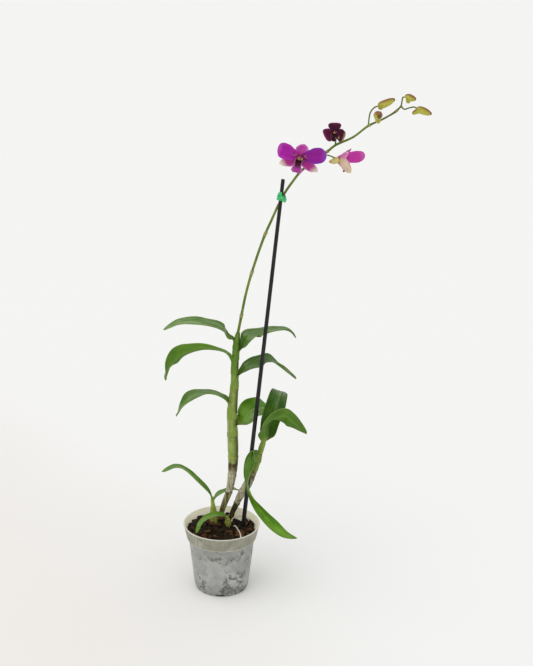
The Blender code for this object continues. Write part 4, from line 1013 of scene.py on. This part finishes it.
BUDS = {
    "bud_1": dict(
        body=((0.1934, 0.0040, 0.6643), (0.1956, 0.0040, 0.6652), (0.1995, 0.0040, 0.6662),
              (0.2045, 0.0040, 0.6682), (0.2098, 0.0040, 0.6708), (0.2140, 0.0040, 0.6727)),
        girth=0.0048, chin=((0.1975, 0.0040, 0.6640), (0.1955, 0.0040, 0.6600)),
        stalk=((0.1829, 0.0060, 0.6398), (0.1830, 0.0050, 0.6472), (0.1843, 0.0040, 0.6562),
               (0.1885, 0.0040, 0.6621))),
    "bud_2": dict(
        body=((0.1935, 0.0006, 0.6505), (0.1932, -0.0012, 0.6522), (0.1927, -0.0048, 0.6537),
              (0.1926, -0.0092, 0.6545), (0.1930, -0.0132, 0.6540), (0.1934, -0.0165, 0.6530)),
        girth=0.0055, chin=((0.1930, -0.0035, 0.6512), (0.1938, -0.0035, 0.6440)),
        stalk=((0.1935, 0.0060, 0.6446), (0.1938, 0.0050, 0.6484))),
    "bud_3": dict(
        body=((0.2262, 0.0050, 0.6752), (0.2282, 0.0045, 0.6756), (0.2308, 0.0040, 0.6750),
              (0.2340, 0.0030, 0.6740), (0.2370, 0.0020, 0.6734), (0.2396, 0.0010, 0.6730)),
        girth=0.0043, chin=((0.2305, 0.0040, 0.6725), (0.2308, 0.0040, 0.6675)),
        stalk=((0.2225, 0.0060, 0.6640), (0.2232, 0.0060, 0.6696))),
    "bud_4": dict(
        body=((0.2416, 0.0060, 0.6618), (0.2436, 0.0060, 0.6608), (0.2470, 0.0060, 0.6592),
              (0.2520, 0.0060, 0.6574), (0.2566, 0.0060, 0.6556), (0.2606, 0.0060, 0.6544)),
        girth=0.0046, chin=((0.2440, 0.0060, 0.6585), (0.2368, 0.0060, 0.6546)),
        stalk=((0.2225, 0.0060, 0.6640), (0.2262, 0.0060, 0.6602), (0.2330, 0.0060, 0.6620))),
}
SHORT_CHIN = ((0.0, 0.0004, -0.0008, 0.0034), (0.0, -0.0025, -0.0022, 0.0034),
              (0.0, -0.0058, -0.0060, 0.0026), (0.0, -0.0082, -0.0092, 0.0010))
STOUT_CHIN = ((0.0, 0.0004, -0.0008, 0.0036), (0.0, -0.0020, -0.0040, 0.0042),
              (0.0, -0.0036, -0.0088, 0.0032), (0.0, -0.0042, -0.0130, 0.0012))
BLOOMS = {
    "bloom_1": dict(centre=(0.0973, -0.0190, 0.6048), facing=(-0.28, -0.92, -0.24),
                    upright=(0.16, 0.0, 1.0), size=1.0, cup=0, chin=SHORT_CHIN,
                    stalk_from=(0.1130, 0.0060, 0.5928), tepals={}),
    "bloom_2": dict(centre=(0.1455, -0.0060, 0.6000), facing=(0.88, 0.42, -0.14),
                    upright=(0.20, 0.0, 1.0), size=0.95, cup=56, chin=STOUT_CHIN,
                    stalk_from=(0.1250, 0.0060, 0.6020),
                    tepals={"dorsal": (100, 0.0148, 0.0140, 0, -10, "sepal"),
                            "petal_right": (28, 0.0330, 0.0155, 6, -10, "petal"),
                            "petal_left": (146, 0.0340, 0.0165, 6, -10, "petal"),
                            "sepal_right": (314, 0.0235, 0.0150, -6, -10, "sepal"),
                            "sepal_left": (224, 0.0228, 0.0184, -14, -6, "sepal")}),
    "bloom_3": dict(centre=(0.1405, -0.0070, 0.6345), facing=(-0.36, -0.88, -0.31),
                    upright=(0.05, 0.0, 1.0), size=0.62, cup=30, chin=SHORT_CHIN,
                    stalk_from=(0.1425, 0.0075, 0.6155),
                    tepals={"dorsal": (95, 0.0160, 0.0284, -30, -38, "petal"),
                            "petal_right": (-17, 0.0210, 0.0300, -8, -20, "petal"),
                            "petal_left": (203, 0.0228, 0.0296, -8, -20, "petal"),
                            "sepal_right": (300, 0.0145, 0.0110, -8, -10, "sepal"),
                            "sepal_left": (246, 0.0140, 0.0110, -8, -10, "sepal")}),
}
OVARY = ((0.0, 0.0, -0.0005, 0.0017), (0.0, 0.0008, -0.0040, 0.0014),
         (0.0, 0.0018, -0.0075, 0.0011))

spike_paint = Paint("spike_skin", Roughness=0.42, Specular_IOR_Level=0.25)
fibre = spike_paint.fibres(700, 60)
cloud = spike_paint.noise(90, 4)
fleck = spike_paint.noise(1500, 2).ease(0.6, 0.72)
browned = (spike_paint.height().ease(0.625, 0.668) + (cloud - 0.5) * 0.4).ease(0.2, 0.8)
skin = spike_paint.coats(cloud.blend(0.3, 0.7, (78, 104, 18), (112, 134, 38)),
                         (fibre.ease(0.5, 0.8) * 0.4, (158, 168, 90)),
                         (fleck * 0.3, (92, 70, 30)), (browned * 0.35, (92, 84, 40)))
spike_skin = spike_paint.wear(Base_Color=skin, Normal=spike_paint.relief(fibre, 0.0003, 0.5))

scale_paint = Paint("joint_scale", Roughness=0.7)
fibre = scale_paint.noise(700, 4, 0.6)
scale_skin = scale_paint.wear(Base_Color=fibre.blend(0.35, 0.7, (122, 124, 60), (172, 168, 106)),
                              Normal=scale_paint.relief(fibre, 0.0003, 0.6))


def facing_matrix(bloom):
    """Local x to the viewer's right, y to the dorsal sepal, z out of the face."""
    out = Vector(bloom["facing"]).normalized()
    right = Vector(bloom["upright"]).cross(out).normalized()
    turn = Matrix((right, out.cross(right), out)).transposed().to_4x4()
    return Matrix.Translation(bloom["centre"]) @ turn @ Matrix.Scale(bloom["size"], 4)


def joint_scale(line, height, length, rows=14, columns=15):
    """Rows of arcs round the stem: the arc's half angle falls from 3 at the joint to nothing
    at the tip, and its radius grows from the stem's as the tip stands away."""
    start = np.interp(height, line[:, 2], np.arange(len(line)))
    far = np.linspace(0, 1, rows)
    step = np.linalg.norm(line[1, :3] - line[0, :3])
    index = np.minimum(start + far * length / step, len(line) - 1)
    path = np.stack([np.interp(index, np.arange(len(line)), column) for column in line.T], 1)
    across, upward = carried_frame(path[:, :3], (0.4, -0.8, 0.2), np.zeros(rows))
    half = 3.0 * np.sqrt(np.clip(1 - far**1.6, 0.0004, 1))
    angle = np.linspace(-1, 1, columns)[None, :] * half[:, None]
    size = (path[:, 3] + 0.00035 + 0.0005 * far**2)[:, None]
    return path[:, None, :3] + across[:, None] * (np.sin(angle) * size)[..., None] \
        + upward[:, None] * (np.cos(angle) * size)[..., None]


line = smooth_curve(SPIKE, 420)
radii = line[:, 3].copy()
for height, _ in SCALES:
    radii += JOINT_SWELL * np.exp(-((line[:, 2] - height) / JOINT_REACH) ** 2)
spike = Shape()
spike.tube(line[:, :3], radii, 20)
for height, length in SCALES:
    middle = joint_scale(line, height, length)
    spike.blade(middle, SCALE_THICKNESS, np.linspace(0, 1, len(middle))[:, None], slot=1)
stalks = {}
for name, bloom in BLOOMS.items():
    place = facing_matrix(bloom)
    end = np.array(OVARY[-1][:3])
    away = unit(end - np.array(OVARY[-2][:3]))
    near = place @ Vector(end + away * 0.0004 * 1.2 / bloom["size"])
    before = place @ Vector(end + away * 0.0055 / bloom["size"])
    start = Vector(bloom["stalk_from"])
    stalks[name] = [start, start.lerp(before, 0.5) + Vector((0, 0, 0.0012)), before, near]
for name, bud in BUDS.items():
    neck, inner = Vector(bud["body"][0]), Vector(bud["body"][1])
    away = (neck - inner).normalized()
    stalks[name] = [*bud["stalk"], neck + away * 0.0022, neck + away * 0.0004]
for points in stalks.values():
    path = refine(smooth_curve(points, 8), 50)
    share = np.linspace(0, 1, 50)
    spike.tube(path, PEDICEL_RADIUS * (1 + 0.45 * np.exp(-(share / 0.08) ** 2)), 14)
spike.build("spike_stem", [spike_skin, scale_skin], "flower_spike", "spike", sharp=70)

# %% Buds
bud_paint = Paint("bud_skin", Roughness=0.40, Specular_IOR_Level=0.3)
across, along = bud_paint.chart()
cloud = bud_paint.noise(260, 4, 0.6)
veins = ((across * 170).sine() * 0.5 + 0.5) * 0.5
flush = (bud_paint.mark("side") + (cloud - 0.5) + (along - 0.5) * 0.4).ease(0.05, 0.85)
skin = bud_paint.coats(cloud.blend(0.3, 0.7, (166, 166, 48), (198, 194, 84)),
                       (flush * 0.85, (124, 56, 40)),
                       ((along + cloud * 0.2).ease(0.98, 1.06) * 0.8, (84, 50, 36)),
                       (veins * 0.2, (120, 60, 40)),
                       ((1 - along.ease(0.0, 0.25)) * 0.5, (150, 150, 60)))
bud_skin = bud_paint.wear(Base_Color=skin, Normal=bud_paint.relief(veins + cloud, 0.0003, 0.4))
BUD_PROFILE = (0.26, 0.76, 1.0, 0.98, 0.76, 0.30)


def sepal_seams(angle, along):
    """1 less a narrow groove at three angles, deepest in the middle of the bud."""
    off = np.abs((angle + 0.5) % (math.tau / 3) - math.tau / 6)
    return 1 - 0.09 * np.exp(-((math.tau / 6 - off) / 0.16) ** 2) * np.sin(math.pi * along) ** 0.5


for name, bud in BUDS.items():
    body = Shape()
    knots = [(*point, bud["girth"] * share) for point, share in zip(bud["body"], BUD_PROFILE)]
    path, radii = stem_line(knots, 64, coarse=9)
    body.tube(path, np.maximum(radii, 0.0003), 36, ridges=sepal_seams)
    root, tip = (np.array(point) for point in bud["chin"])
    knots = [(*(root + (tip - root) * share), bud["girth"] * girth)
             for share, girth in ((0.0, 0.74), (0.55, 0.62), (0.9, 0.40), (1.0, 0.16))]
    body.tube(*stem_line(knots, 24), 24)
    body.build(name + "_sepals", [bud_skin], name, "bud", sharp=70)

# %% [markdown]
# ## Blooms
# Each bloom has three sepals and two broad petals round a short column. The lip is the third
# petal, rolled up beside the column and flared in front. Petals are velvety, with fine veins
# that darken towards the heart, and their edges are a little paler and waved. Each one is an
# arc strip that curls along its length, with the waves added along its own normal.

# %% Petal paint
TEPAL_THICKNESS = 0.0007
TEPAL_START = 0.0018


def petal_paint(name, tip_start, heart, body, edge, tip, vein):
    """Colour from heart to tip along the chart, an edge across it, and fine veins. The tip's
    colour comes in from tip_start on."""
    paint = Paint(name, Specular_IOR_Level=0.16, Sheen_Weight=0.05, Sheen_Roughness=0.4)
    across, along = paint.chart()
    off = ((across - 0.5) * 2).size()
    wander = paint.noise(1.0, at=paint.join(across * 5, along * 3))
    cloud = paint.noise(170, 4, 0.6)
    glint = paint.noise(2600, 2, 0.5)
    fan = (across - 0.5) * (34 + along * 26) + wander * 2.2
    veins = (1 - (fan * 2.2).sine().size().ease(0.0, 0.45)) * (1 - along * 0.35)
    skin = paint.coats((along + (wander - 0.5) * 0.2).blend(0.0, 0.36, heart, body),
                       ((off + (cloud - 0.5) * 0.4 + along * 0.15).ease(0.62, 1.08) * 0.85, edge),
                       ((along + (cloud - 0.5) * 0.22).ease(tip_start, 0.96) * 0.9, tip),
                       (veins * 0.42, vein), (cloud.ease(0.42, 0.75) * 0.22, edge),
                       (paint.mark("side") * 0.25, edge),
                       (glint.ease(0.62, 0.74) * 0.10, (236, 180, 226)))
    return paint.wear(Base_Color=skin, Roughness=0.52 + cloud * 0.16,
                      Normal=paint.relief(veins * -0.8 + glint * 0.35 + cloud, 0.00022, 0.5))


PETAL_TIP_START, SEPAL_TIP_START = 0.74, 0.56
PETAL_TINTS = {
    "bloom_1": dict(
        petal_left=((146, 22, 104), (168, 26, 158), (184, 54, 182), (188, 74, 186), (108, 12, 106)),
        petal_right=((124, 18, 92), (150, 24, 146), (128, 40, 170), (150, 62, 180), (88, 10, 92)),
        dorsal=((160, 44, 110), (176, 52, 152), (212, 132, 200), (206, 120, 188), (128, 26, 112)),
        sepal_left=((110, 30, 50), (178, 40, 140), (206, 110, 172), (238, 234, 206), (112, 20, 80)),
        sepal_right=((110, 30, 50), (182, 44, 146), (208, 120, 180), (240, 236, 210),
                     (112, 20, 80))),
    "bloom_2": dict(
        petal_left=((170, 60, 110), (186, 38, 146), (190, 70, 166), (194, 100, 176),
                    (130, 20, 104)),
        petal_right=((170, 60, 110), (178, 32, 138), (182, 60, 158), (190, 96, 172),
                     (120, 20, 100)),
        dorsal=((190, 100, 120), (200, 96, 160), (222, 160, 196), (226, 190, 206), (150, 50, 110)),
        sepal_left=((208, 200, 112), (228, 218, 176), (206, 128, 164), (226, 224, 158),
                    (200, 150, 130)),
        sepal_right=((208, 200, 112), (220, 208, 168), (206, 128, 164), (226, 222, 156),
                     (190, 120, 130))),
    # bloom 3 is much darker than the others: its own dark maroon, with painted shade since it hangs
    # in shade
    "bloom_3": dict(
        petal_left=((40, 4, 22), (86, 14, 52), (122, 36, 88), (150, 60, 104), (36, 4, 20)),
        petal_right=((34, 4, 20), (66, 8, 42), (84, 16, 66), (176, 150, 96), (30, 3, 18)),
        dorsal=((34, 4, 20), (62, 8, 38), (88, 20, 62), (120, 44, 80), (30, 3, 18)),
        sepal_left=((40, 4, 22), (84, 14, 50), (122, 44, 84), (160, 90, 104), (36, 4, 20)),
        sepal_right=((40, 4, 22), (84, 14, 50), (122, 44, 84), (196, 176, 110), (36, 4, 20))),
}
petal_skins = {}
for bloom, table in PETAL_TINTS.items():
    for key, colours in table.items():
        tip_start = SEPAL_TIP_START if key.startswith("sepal") else PETAL_TIP_START
        petal_skins[bloom, key] = petal_paint(f"{bloom}_{key}", tip_start, *colours)

heart_paint = Paint("bloom_heart", Roughness=0.45, Specular_IOR_Level=0.2)
cloud = heart_paint.noise(420, 4, 0.6)
skin = heart_paint.chart()[1].blend(0.35, 0.75, (110, 30, 66), (150, 90, 108))
skin = heart_paint.mix(cloud.ease(0.45, 0.7) * 0.5, skin, (92, 14, 56))
heart_skin = heart_paint.wear(Base_Color=skin, Normal=heart_paint.relief(cloud, 0.0003, 0.5))

cap_paint = Paint("pollen_cap", Roughness=0.5, Specular_IOR_Level=0.25)
cloud = cap_paint.noise(900, 3)
cap_skin = cap_paint.wear(Base_Color=cloud.blend(0.3, 0.7, (112, 96, 22), (168, 148, 60)),
                          Normal=cap_paint.relief(cloud, 0.0002, 0.5))

chin_paint = Paint("bloom_chin", Roughness=0.45, Specular_IOR_Level=0.45)
across, along = chin_paint.chart()
cloud = chin_paint.noise(380, 4, 0.6)
# painted shade: a dark line along the chin where a crease would hold shade
crease = 1 - ((across - 0.25) * 12).size().ease(0.0, 0.6)
skin = chin_paint.coats(cloud.blend(0.3, 0.7, (176, 166, 82), (214, 204, 132)),
                        (crease * 0.6, (122, 92, 44)),
                        ((along + cloud * 0.3).ease(0.75, 1.2) * 0.5, (160, 96, 110)))
chin_skin = chin_paint.wear(Base_Color=skin, Normal=chin_paint.relief(cloud, 0.0003, 0.4))
print(len(petal_skins), "petal paints")

# %% Petals and sepals
TEPALS = {
    "dorsal": (87, 0.0158, 0.0172, -30, -24, "sepal"),
    "petal_right": (17, 0.0308, 0.0216, 4, -14, "petal"),
    "petal_left": (168, 0.0288, 0.0222, 4, -14, "petal"),
    "sepal_right": (320, 0.0286, 0.0148, -6, -16, "sepal"),
    "sepal_left": (214, 0.0312, 0.0146, -6, -12, "sepal"),
}
COLUMN = ((0.0, 0.0, -0.0030, 0.0024), (0.0, 0.0, 0.0030, 0.0023), (0.0, 0.0003, 0.0065, 0.0021),
          (0.0, 0.0, 0.0080, 0.0012))
POLLEN_CAP = ((0.0, 0.0004, 0.0062, 0.0011), (0.0, 0.0005, 0.0072, 0.0017),
              (0.0, 0.0003, 0.0083, 0.0015), (0.0, 0.0, 0.0090, 0.0005))


def tepal_surface(tepal, cup, seed, rows=64, columns=33):
    """The midline leaves at a tilt and curls steadily. Waves along the normal grow with the
    square of the distance from the midline; a fine keel runs down it."""
    direction, length, width, tilt, curl, kind = tepal
    direction = math.radians(direction)
    outward = np.array([math.cos(direction), math.sin(direction), 0.0])
    s = np.sin(np.linspace(0, math.pi / 2, 7))
    pitch = np.radians(tilt + cup + curl * s)
    step = np.diff(s, prepend=0.0) * length
    reach = TEPAL_START + np.cumsum(np.cos(pitch) * step)
    height = np.cumsum(np.sin(pitch) * step)
    path = reach[:, None] * outward + height[:, None] * np.array([0, 0, 1.0])
    frames = fine_frames(path, (0, 0, 1.0), np.zeros(7), rows)
    s = np.clip(refine(s, rows), 0, 1)
    rise, fall = (0.95, 0.45) if kind == "petal" else (0.45, 0.62)
    outline = (s + 0.10) ** rise * (1.0006 - s) ** fall
    half = width / 2 * outline / outline.max()
    u = np.linspace(-1, 1, columns)[None, :]
    sv = s[:, None]
    broad = width / 0.023
    wave = (0.0007 * broad * np.abs(u) ** 2.5 * np.sin(9 * sv + 3.5 * np.sign(u) + seed)
            + 0.00035 * broad * np.abs(u) ** 3 * np.sin(23 * sv + 2 * seed + u))
    keel_height = -0.0004 if kind == "petal" else 0.0004
    keel = keel_height * np.exp(-(u / 0.10) ** 2) * np.sin(math.pi * sv) ** 0.5
    soft = 0.00025 * np.sin(6 * sv + 5 * u + seed) * (1 - u**2)
    fade = np.minimum(sv * 3, 1) * np.minimum((1 - sv) * 6 + 0.25, 1)
    radii = np.full(rows, 0.030 if kind == "petal" else 0.014)
    return arc_rows(frames, half, radii, columns, (wave + keel + soft) * fade), sv


for number, (name, bloom) in enumerate(BLOOMS.items()):
    flower = Shape()
    materials = [petal_skins[name, key] for key in TEPALS] + [heart_skin, cap_skin, chin_skin]
    for slot, (key, tepal) in enumerate({**TEPALS, **bloom["tepals"]}.items()):
        middle, s = tepal_surface(tepal, bloom["cup"], 1.7 * slot + number)
        flower.blade(middle, TEPAL_THICKNESS * (1 - 0.3 * s[:, 0]), s, slot=slot)
    flower.tube(*stem_line(COLUMN, 40), 28, slot=5,
                ridges=lambda angle, along: 1 - 0.10 * np.cos(2 * angle) * along)
    flower.tube(*stem_line(POLLEN_CAP, 20), 24, slot=6)
    for table, rows, coarse in ((bloom["chin"], 48, 6), (OVARY, 36, 4)):
        flower.tube(*stem_line(table, rows, coarse), 28, slot=7)
    flower.build(name + "_petals", materials, name + "_tepals",
                 "dark_petal" if name == "bloom_3" else "petal", sharp=75,
                 place=facing_matrix(bloom))

# %% [markdown]
# ## Lips
# The lip stands up beside the column, narrows at a waist and flares into a ruffled tongue.
# Its throat is almost black. Purple veins run out over a paler tongue, and three low keels
# guide an insect to the heart.

# %% Lips
LIP_PATH = ((0.0, -0.0032, 0.0026), (0.0, -0.0040, 0.0060), (0.0, -0.0062, 0.0100),
            (0.0, -0.0100, 0.0126), (0.0, -0.0138, 0.0126), (0.0, -0.0165, 0.0112))
LIP_HALF_WIDTHS = (0.0016, 0.0062, 0.0050, 0.0042, 0.0064, 0.0060, 0.0022)
LIP_RADII = (0.0036, 0.0040, 0.0052, 0.0080, 0.0140, 0.0180, 0.0200)


def lip_paint(name, throat, tongue, edge, vein):
    """A throat that turns to the tongue's colour along the chart, with an edge and veins."""
    paint = Paint(name, Specular_IOR_Level=0.16, Sheen_Weight=0.03)
    across, along = paint.chart()
    off = ((across - 0.5) * 2).size()
    wander = paint.noise(1.0, at=paint.join(across * 6, along * 4))
    cloud = paint.noise(420, 4, 0.6)
    veins = 1 - ((across - 0.5) * 46 + wander * 2.6).sine().size().ease(0.05, 0.5)
    skin = paint.coats((along + (wander - 0.5) * 0.2).blend(0.42, 0.72, throat, tongue),
                       ((off + along * 0.3).ease(0.75, 1.15) * 0.6, edge),
                       (veins * 0.75 * along.ease(0.3, 0.6), vein),
                       (cloud.ease(0.5, 0.75) * 0.3, vein))
    return paint.wear(Base_Color=skin, Roughness=0.42 + cloud * 0.18,
                      Normal=paint.relief(veins + cloud, 0.0002, 0.5))


LIP_SPREAD = {"bloom_1": 1.18, "bloom_2": 0.5, "bloom_3": 0.8}
LIP_TINTS = {"bloom_1": ((64, 6, 34), (176, 66, 160), (214, 150, 204), (98, 10, 84)),
             "bloom_2": ((80, 16, 60), (128, 34, 110), (150, 60, 130), (74, 10, 66)),
             # bloom 3's lip is darkened the same way: dark maroon with painted shade
             "bloom_3": ((34, 4, 20), (56, 6, 34), (70, 10, 44), (28, 2, 18))}


def lip_surface(width, rows=84, columns=37):
    """An arc strip whose half width and radius follow tables along it, with three keels in
    the throat and ruffles that grow with the fourth power towards its edge."""
    path = smooth_curve(LIP_PATH, 9)
    frames = fine_frames(path, (0, 1.0, 0), np.zeros(9), rows)
    steps, marks = np.linspace(0, 1, 9), np.linspace(0, 1, len(LIP_HALF_WIDTHS))
    half = np.maximum(refine(np.interp(steps, marks, LIP_HALF_WIDTHS), rows), 0.0005) * width
    radii = refine(np.interp(steps, marks, LIP_RADII), rows)
    s = np.linspace(0, 1, rows)
    half *= round_end(s, 0.955)
    u = np.linspace(-1, 1, columns)[None, :]
    sv = s[:, None]
    keels = sum(0.0004 * np.exp(-((u - place) / 0.07) ** 2) for place in (-0.22, 0, 0.22))
    keels = keels * np.sin(math.pi * np.clip(sv * 1.15, 0, 1))
    ruffle = 0.0006 * np.abs(u) ** 4 * np.sin(38 * sv + 2 * u) * ease(sv, 0.35, 0.6)
    notch = -0.0004 * (1 - np.abs(u)) * ease(sv, 0.8, 1.0)
    return arc_rows(frames, half, radii, columns, keels + (ruffle + notch) * width), sv


for name, bloom in BLOOMS.items():
    middle, s = lip_surface(LIP_SPREAD[name])
    lip = Shape()
    lip.blade(middle, TEPAL_THICKNESS * (1 - 0.3 * s[:, 0]), s)
    skin = lip_paint(name + "_lip_skin", *LIP_TINTS[name])
    lip.build(name + "_lip_petal", [skin], name + "_lip", "lip", sharp=75,
              place=facing_matrix(bloom))

# %% [markdown]
# ## Stake, tie and stray roots
# The stake is steel wire in a black plastic coat, cut off at a slant. A strip of thin green
# tape holds the spike to it, pulled into a flat knot with short ends. The roots that
# wander over the bark are round and papery white.

# %% Stake
STAKE_FOOT = Vector((0.0270, 0.0090, 0.0560))
STAKE_TOP = Vector((0.0773, -0.0010, 0.5740))
STAKE_RADII = (0.0030, 0.0024)
STAKE_CUT = 0.35

coat_paint = Paint("stake_coat", Specular_IOR_Level=0.3)
rub_and_sheen = coat_paint.fibres(300, 16, 5, 0.65)
dust = coat_paint.noise(800, 4, 0.6)
# the lighter purple-grey streaks are partly rubbed wear and partly painted sheen
skin = coat_paint.mix(dust.ease(0.62, 0.74) * 0.2,
                      rub_and_sheen.blend(0.35, 0.75, (12, 10, 14), (34, 30, 40)), (90, 84, 92))
stake_coat = coat_paint.wear(Base_Color=skin, Roughness=0.30 + rub_and_sheen * 0.25,
                             Normal=coat_paint.relief(rub_and_sheen + dust * 0.4, 0.0003, 0.4))


def tilted_frame(start, end):
    """A matrix at start whose Z axis runs to end, and the distance."""
    direction = end - start
    turn = direction.to_track_quat("Z", "Y").to_matrix().to_4x4()
    return Matrix.Translation(start) @ turn, direction.length


frame_matrix, length = tilted_frame(STAKE_FOOT, STAKE_TOP)
angle = np.linspace(0, math.tau, 33)
heights = np.concatenate([[0.0], np.linspace(0.0004, length - 0.0006, 40),
                          [length - 0.0002, length]])
size = np.interp(heights, [0, length], STAKE_RADII)
size[[0, -1]] -= 0.0004
size[-2] -= 0.0001
loops = np.stack([size[:, None] * np.cos(angle), size[:, None] * np.sin(angle),
                  heights[:, None] + 0 * angle], -1)
top = heights > length / 2
loops[..., 2] -= top[:, None] * loops[..., 0] * STAKE_CUT
loops[:, -1] = loops[:, 0]
stake = Shape()
stake.loft(loops, np.linspace(0, 1, 33)[None, :], (heights / length)[:, None])
stake.build("stake_rod", [stake_coat], "stake", "stake_coat", sharp=40, place=frame_matrix)

# %% Tie
TIE_HEIGHT = 0.5515
TIE_SHIFT = 0.0013
TIE_HALF_WIDTH = 0.0050
TIE_BAND = 0.0086
TIE_THICKNESS = 0.0008
TIE_FRONT = -(STAKE_RADII[1] + 0.0009)

tape_paint = Paint("tape", Specular_IOR_Level=0.35)
pull = tape_paint.noise(260, 4, 0.6, 1.2)
shadow = tape_paint.noise(900, 3).ease(0.6, 0.75)
skin = tape_paint.mix(shadow * 0.4, pull.blend(0.3, 0.7, (34, 158, 84), (84, 212, 134)),
                      (24, 112, 58))
tape_skin = tape_paint.wear(Base_Color=skin, Roughness=0.34 + pull * 0.2,
                            Normal=tape_paint.relief(pull, 0.0005, 0.6))


def blunt(wave):
    """A sine or cosine pushed outward, so that a circle drawn with it has squarer corners."""
    return np.sign(wave) * np.abs(wave) ** 0.8


def tape_loop(back, offset, rows=19, columns=72):
    """A loop round stake and spike, three tenths wider at its foot than at its top, whose
    upper edge falls 4 mm to the right. Folds are waves that run slantwise round it and die
    out at both edges."""
    around = np.linspace(0, math.tau, columns + 1)[None, :]
    level = np.linspace(-0.5, 0.5, rows)[:, None]
    fold = 0.00028 * np.sin(level * 15 + 3 * around) * (1 - (2 * level) ** 6)
    width = TIE_HALF_WIDTH * (1 - 0.26 * level) + fold + offset
    depth = (back - TIE_FRONT) / 2 + fold + offset
    edge = TIE_BAND * level * (1 + 0.05 * np.sin(4 * around))
    edge = edge - 0.0040 * (level + 0.5) * (0.5 + 0.5 * np.cos(around))
    loop = np.stack([TIE_SHIFT + width * blunt(np.cos(around)),
                     (TIE_FRONT + back) / 2 + depth * blunt(np.sin(around)), edge], -1)
    loop[:, -1] = loop[:, 0]
    return loop


share = (TIE_HEIGHT - STAKE_FOOT.z) / (STAKE_TOP.z - STAKE_FOOT.z)
centre = STAKE_FOOT.lerp(STAKE_TOP, share)
back = 0.0052 - centre.y + 0.0032
outer, inner = tape_loop(back, TIE_THICKNESS), tape_loop(back, 0.0)
band = np.concatenate([outer, inner[::-1], outer[:1]])
tie = Shape()
tie.patch(band)
knot_front = TIE_FRONT - TIE_THICKNESS - 0.0006
knot = ((-0.0020, knot_front, 0.0020, 0.0013), (0.0, knot_front - 0.0006, 0.0004, 0.0022),
        (0.0022, knot_front, -0.0014, 0.0014))
tie.tube(*stem_line(knot, 28, coarse=6), 26,
         ridges=lambda angle, along: 1 + 0.08 * np.sin(5 * angle + 6 * along))
EAR_ROWS, EAR_CURL, EAR_THICKNESS = 30, 0.006, 0.0007
EARS = (((0.0, 0.0, 0.0006), (-0.0016, -0.0006, 0.0036), (-0.0008, 0.0014, 0.0068)),
        ((0.0, 0.0, 0.0), (0.0030, -0.0006, -0.0024), (0.0058, 0.0004, -0.0054)),
        ((0.0, 0.0, 0.0), (-0.0026, -0.0004, 0.0012), (-0.0052, 0.0006, 0.0022)))
for turn, ear in zip((10, 25, -25), EARS):
    path = smooth_curve(np.array(ear) + (0.0, knot_front - 0.0003, 0.0), 8)
    frames = fine_frames(path, (0.0, -1.0, 0.2), np.radians(np.linspace(0, turn, 8)), EAR_ROWS)
    far = np.linspace(0, 1, EAR_ROWS)
    ripple = 0.00035 * np.sin(np.linspace(-1, 1, 13)[None, :] * 5 + far[:, None] * 4)
    half = (0.0010 + 0.0012 * ease(far, 0.0, 0.6)) * (1 - 0.5 * ease(far, 0.6, 1.0))
    middle = arc_rows(frames, half, np.full(EAR_ROWS, EAR_CURL), 13, ripple)
    tie.blade(middle, EAR_THICKNESS, far[:, None])
axes = frame_matrix.to_3x3().to_4x4()
straighten = Matrix.Rotation(-math.atan2(axes[1][0], axes[0][0]), 4, "Z")
tie.build("tie_tape", [tape_skin], "tie", "tape", sharp=60,
          place=Matrix.Translation(centre) @ axes @ straighten)

# %% Stray roots
ROOT_RADIUS = 0.0009
ROOTS = {
    "root_back": ((0.0139, 0.0182, 0.0800), (0.0150, 0.0250, 0.0880), (0.0225, 0.0290, 0.0900),
                  (0.0310, 0.0290, 0.0900), (0.0370, 0.0240, 0.0890), (0.0395, 0.0190, 0.0800)),
    "root_front": ((0.0145, 0.0120, 0.0800), (0.0183, 0.0020, 0.0895), (0.0225, -0.0105, 0.0900),
                   (0.0258, -0.0255, 0.0895), (0.0270, -0.0330, 0.0800)),
}
root_paint = Paint("root_skin", Roughness=0.75)
flake = root_paint.noise(520, 5, 0.65)
stain = root_paint.noise(160, 3).ease(0.55, 0.7)
skin = root_paint.mix(stain * 0.4, flake.blend(0.35, 0.65, (168, 160, 132), (224, 220, 204)),
                      (140, 120, 84))
root_skin = root_paint.wear(Base_Color=skin, Normal=root_paint.relief(flake, 0.0004, 0.7))
for name, points in ROOTS.items():
    root = Shape()
    line = refine(smooth_curve(points, 14), 90)
    root.tube(line, np.full(90, ROOT_RADIUS), 18,
              ridges=lambda angle, along: 1 + 0.06 * np.sin(angle * 3 + along * 40))
    root.build(name + "_strand", [root_skin], name, "root")

# %% [markdown]
# ## The floor
# The plant stands on a wide white sweep. It is only a stage and no part of the plant. Toward
# the front left it is painted a little darker and warmer as shade.

# %% Floor
FLOOR_REACH, FLOOR_DEPTH = 30, 60
floor_paint = Paint("floor", Roughness=0.9, Specular_IOR_Level=0.1)
x, y, _ = floor_paint.split(floor_paint.place())
cloud = floor_paint.noise(1.4, 2)
# painted shade: the floor turns a little darker and warmer toward the front left
near = 1 - (x * 1.2 + y * 0.8 + (cloud - 0.5) * 0.3).ease(-0.35, 0.25)
floor_skin = floor_paint.wear(Base_Color=floor_paint.mix(near, (245, 245, 244), (240, 237, 234)))
floor_mesh = bpy.data.meshes.new("floor")
corners = [(x, y, 0) for x, y in ((-FLOOR_REACH, -FLOOR_REACH), (FLOOR_REACH, -FLOOR_REACH),
                                  (FLOOR_REACH, FLOOR_DEPTH), (-FLOOR_REACH, FLOOR_DEPTH))]
floor_mesh.from_pydata(corners, [], [(0, 1, 2, 3)])
floor = bpy.data.objects.new("floor", floor_mesh)
floor_mesh.materials.append(floor_skin)
scene.collection.objects.link(floor)
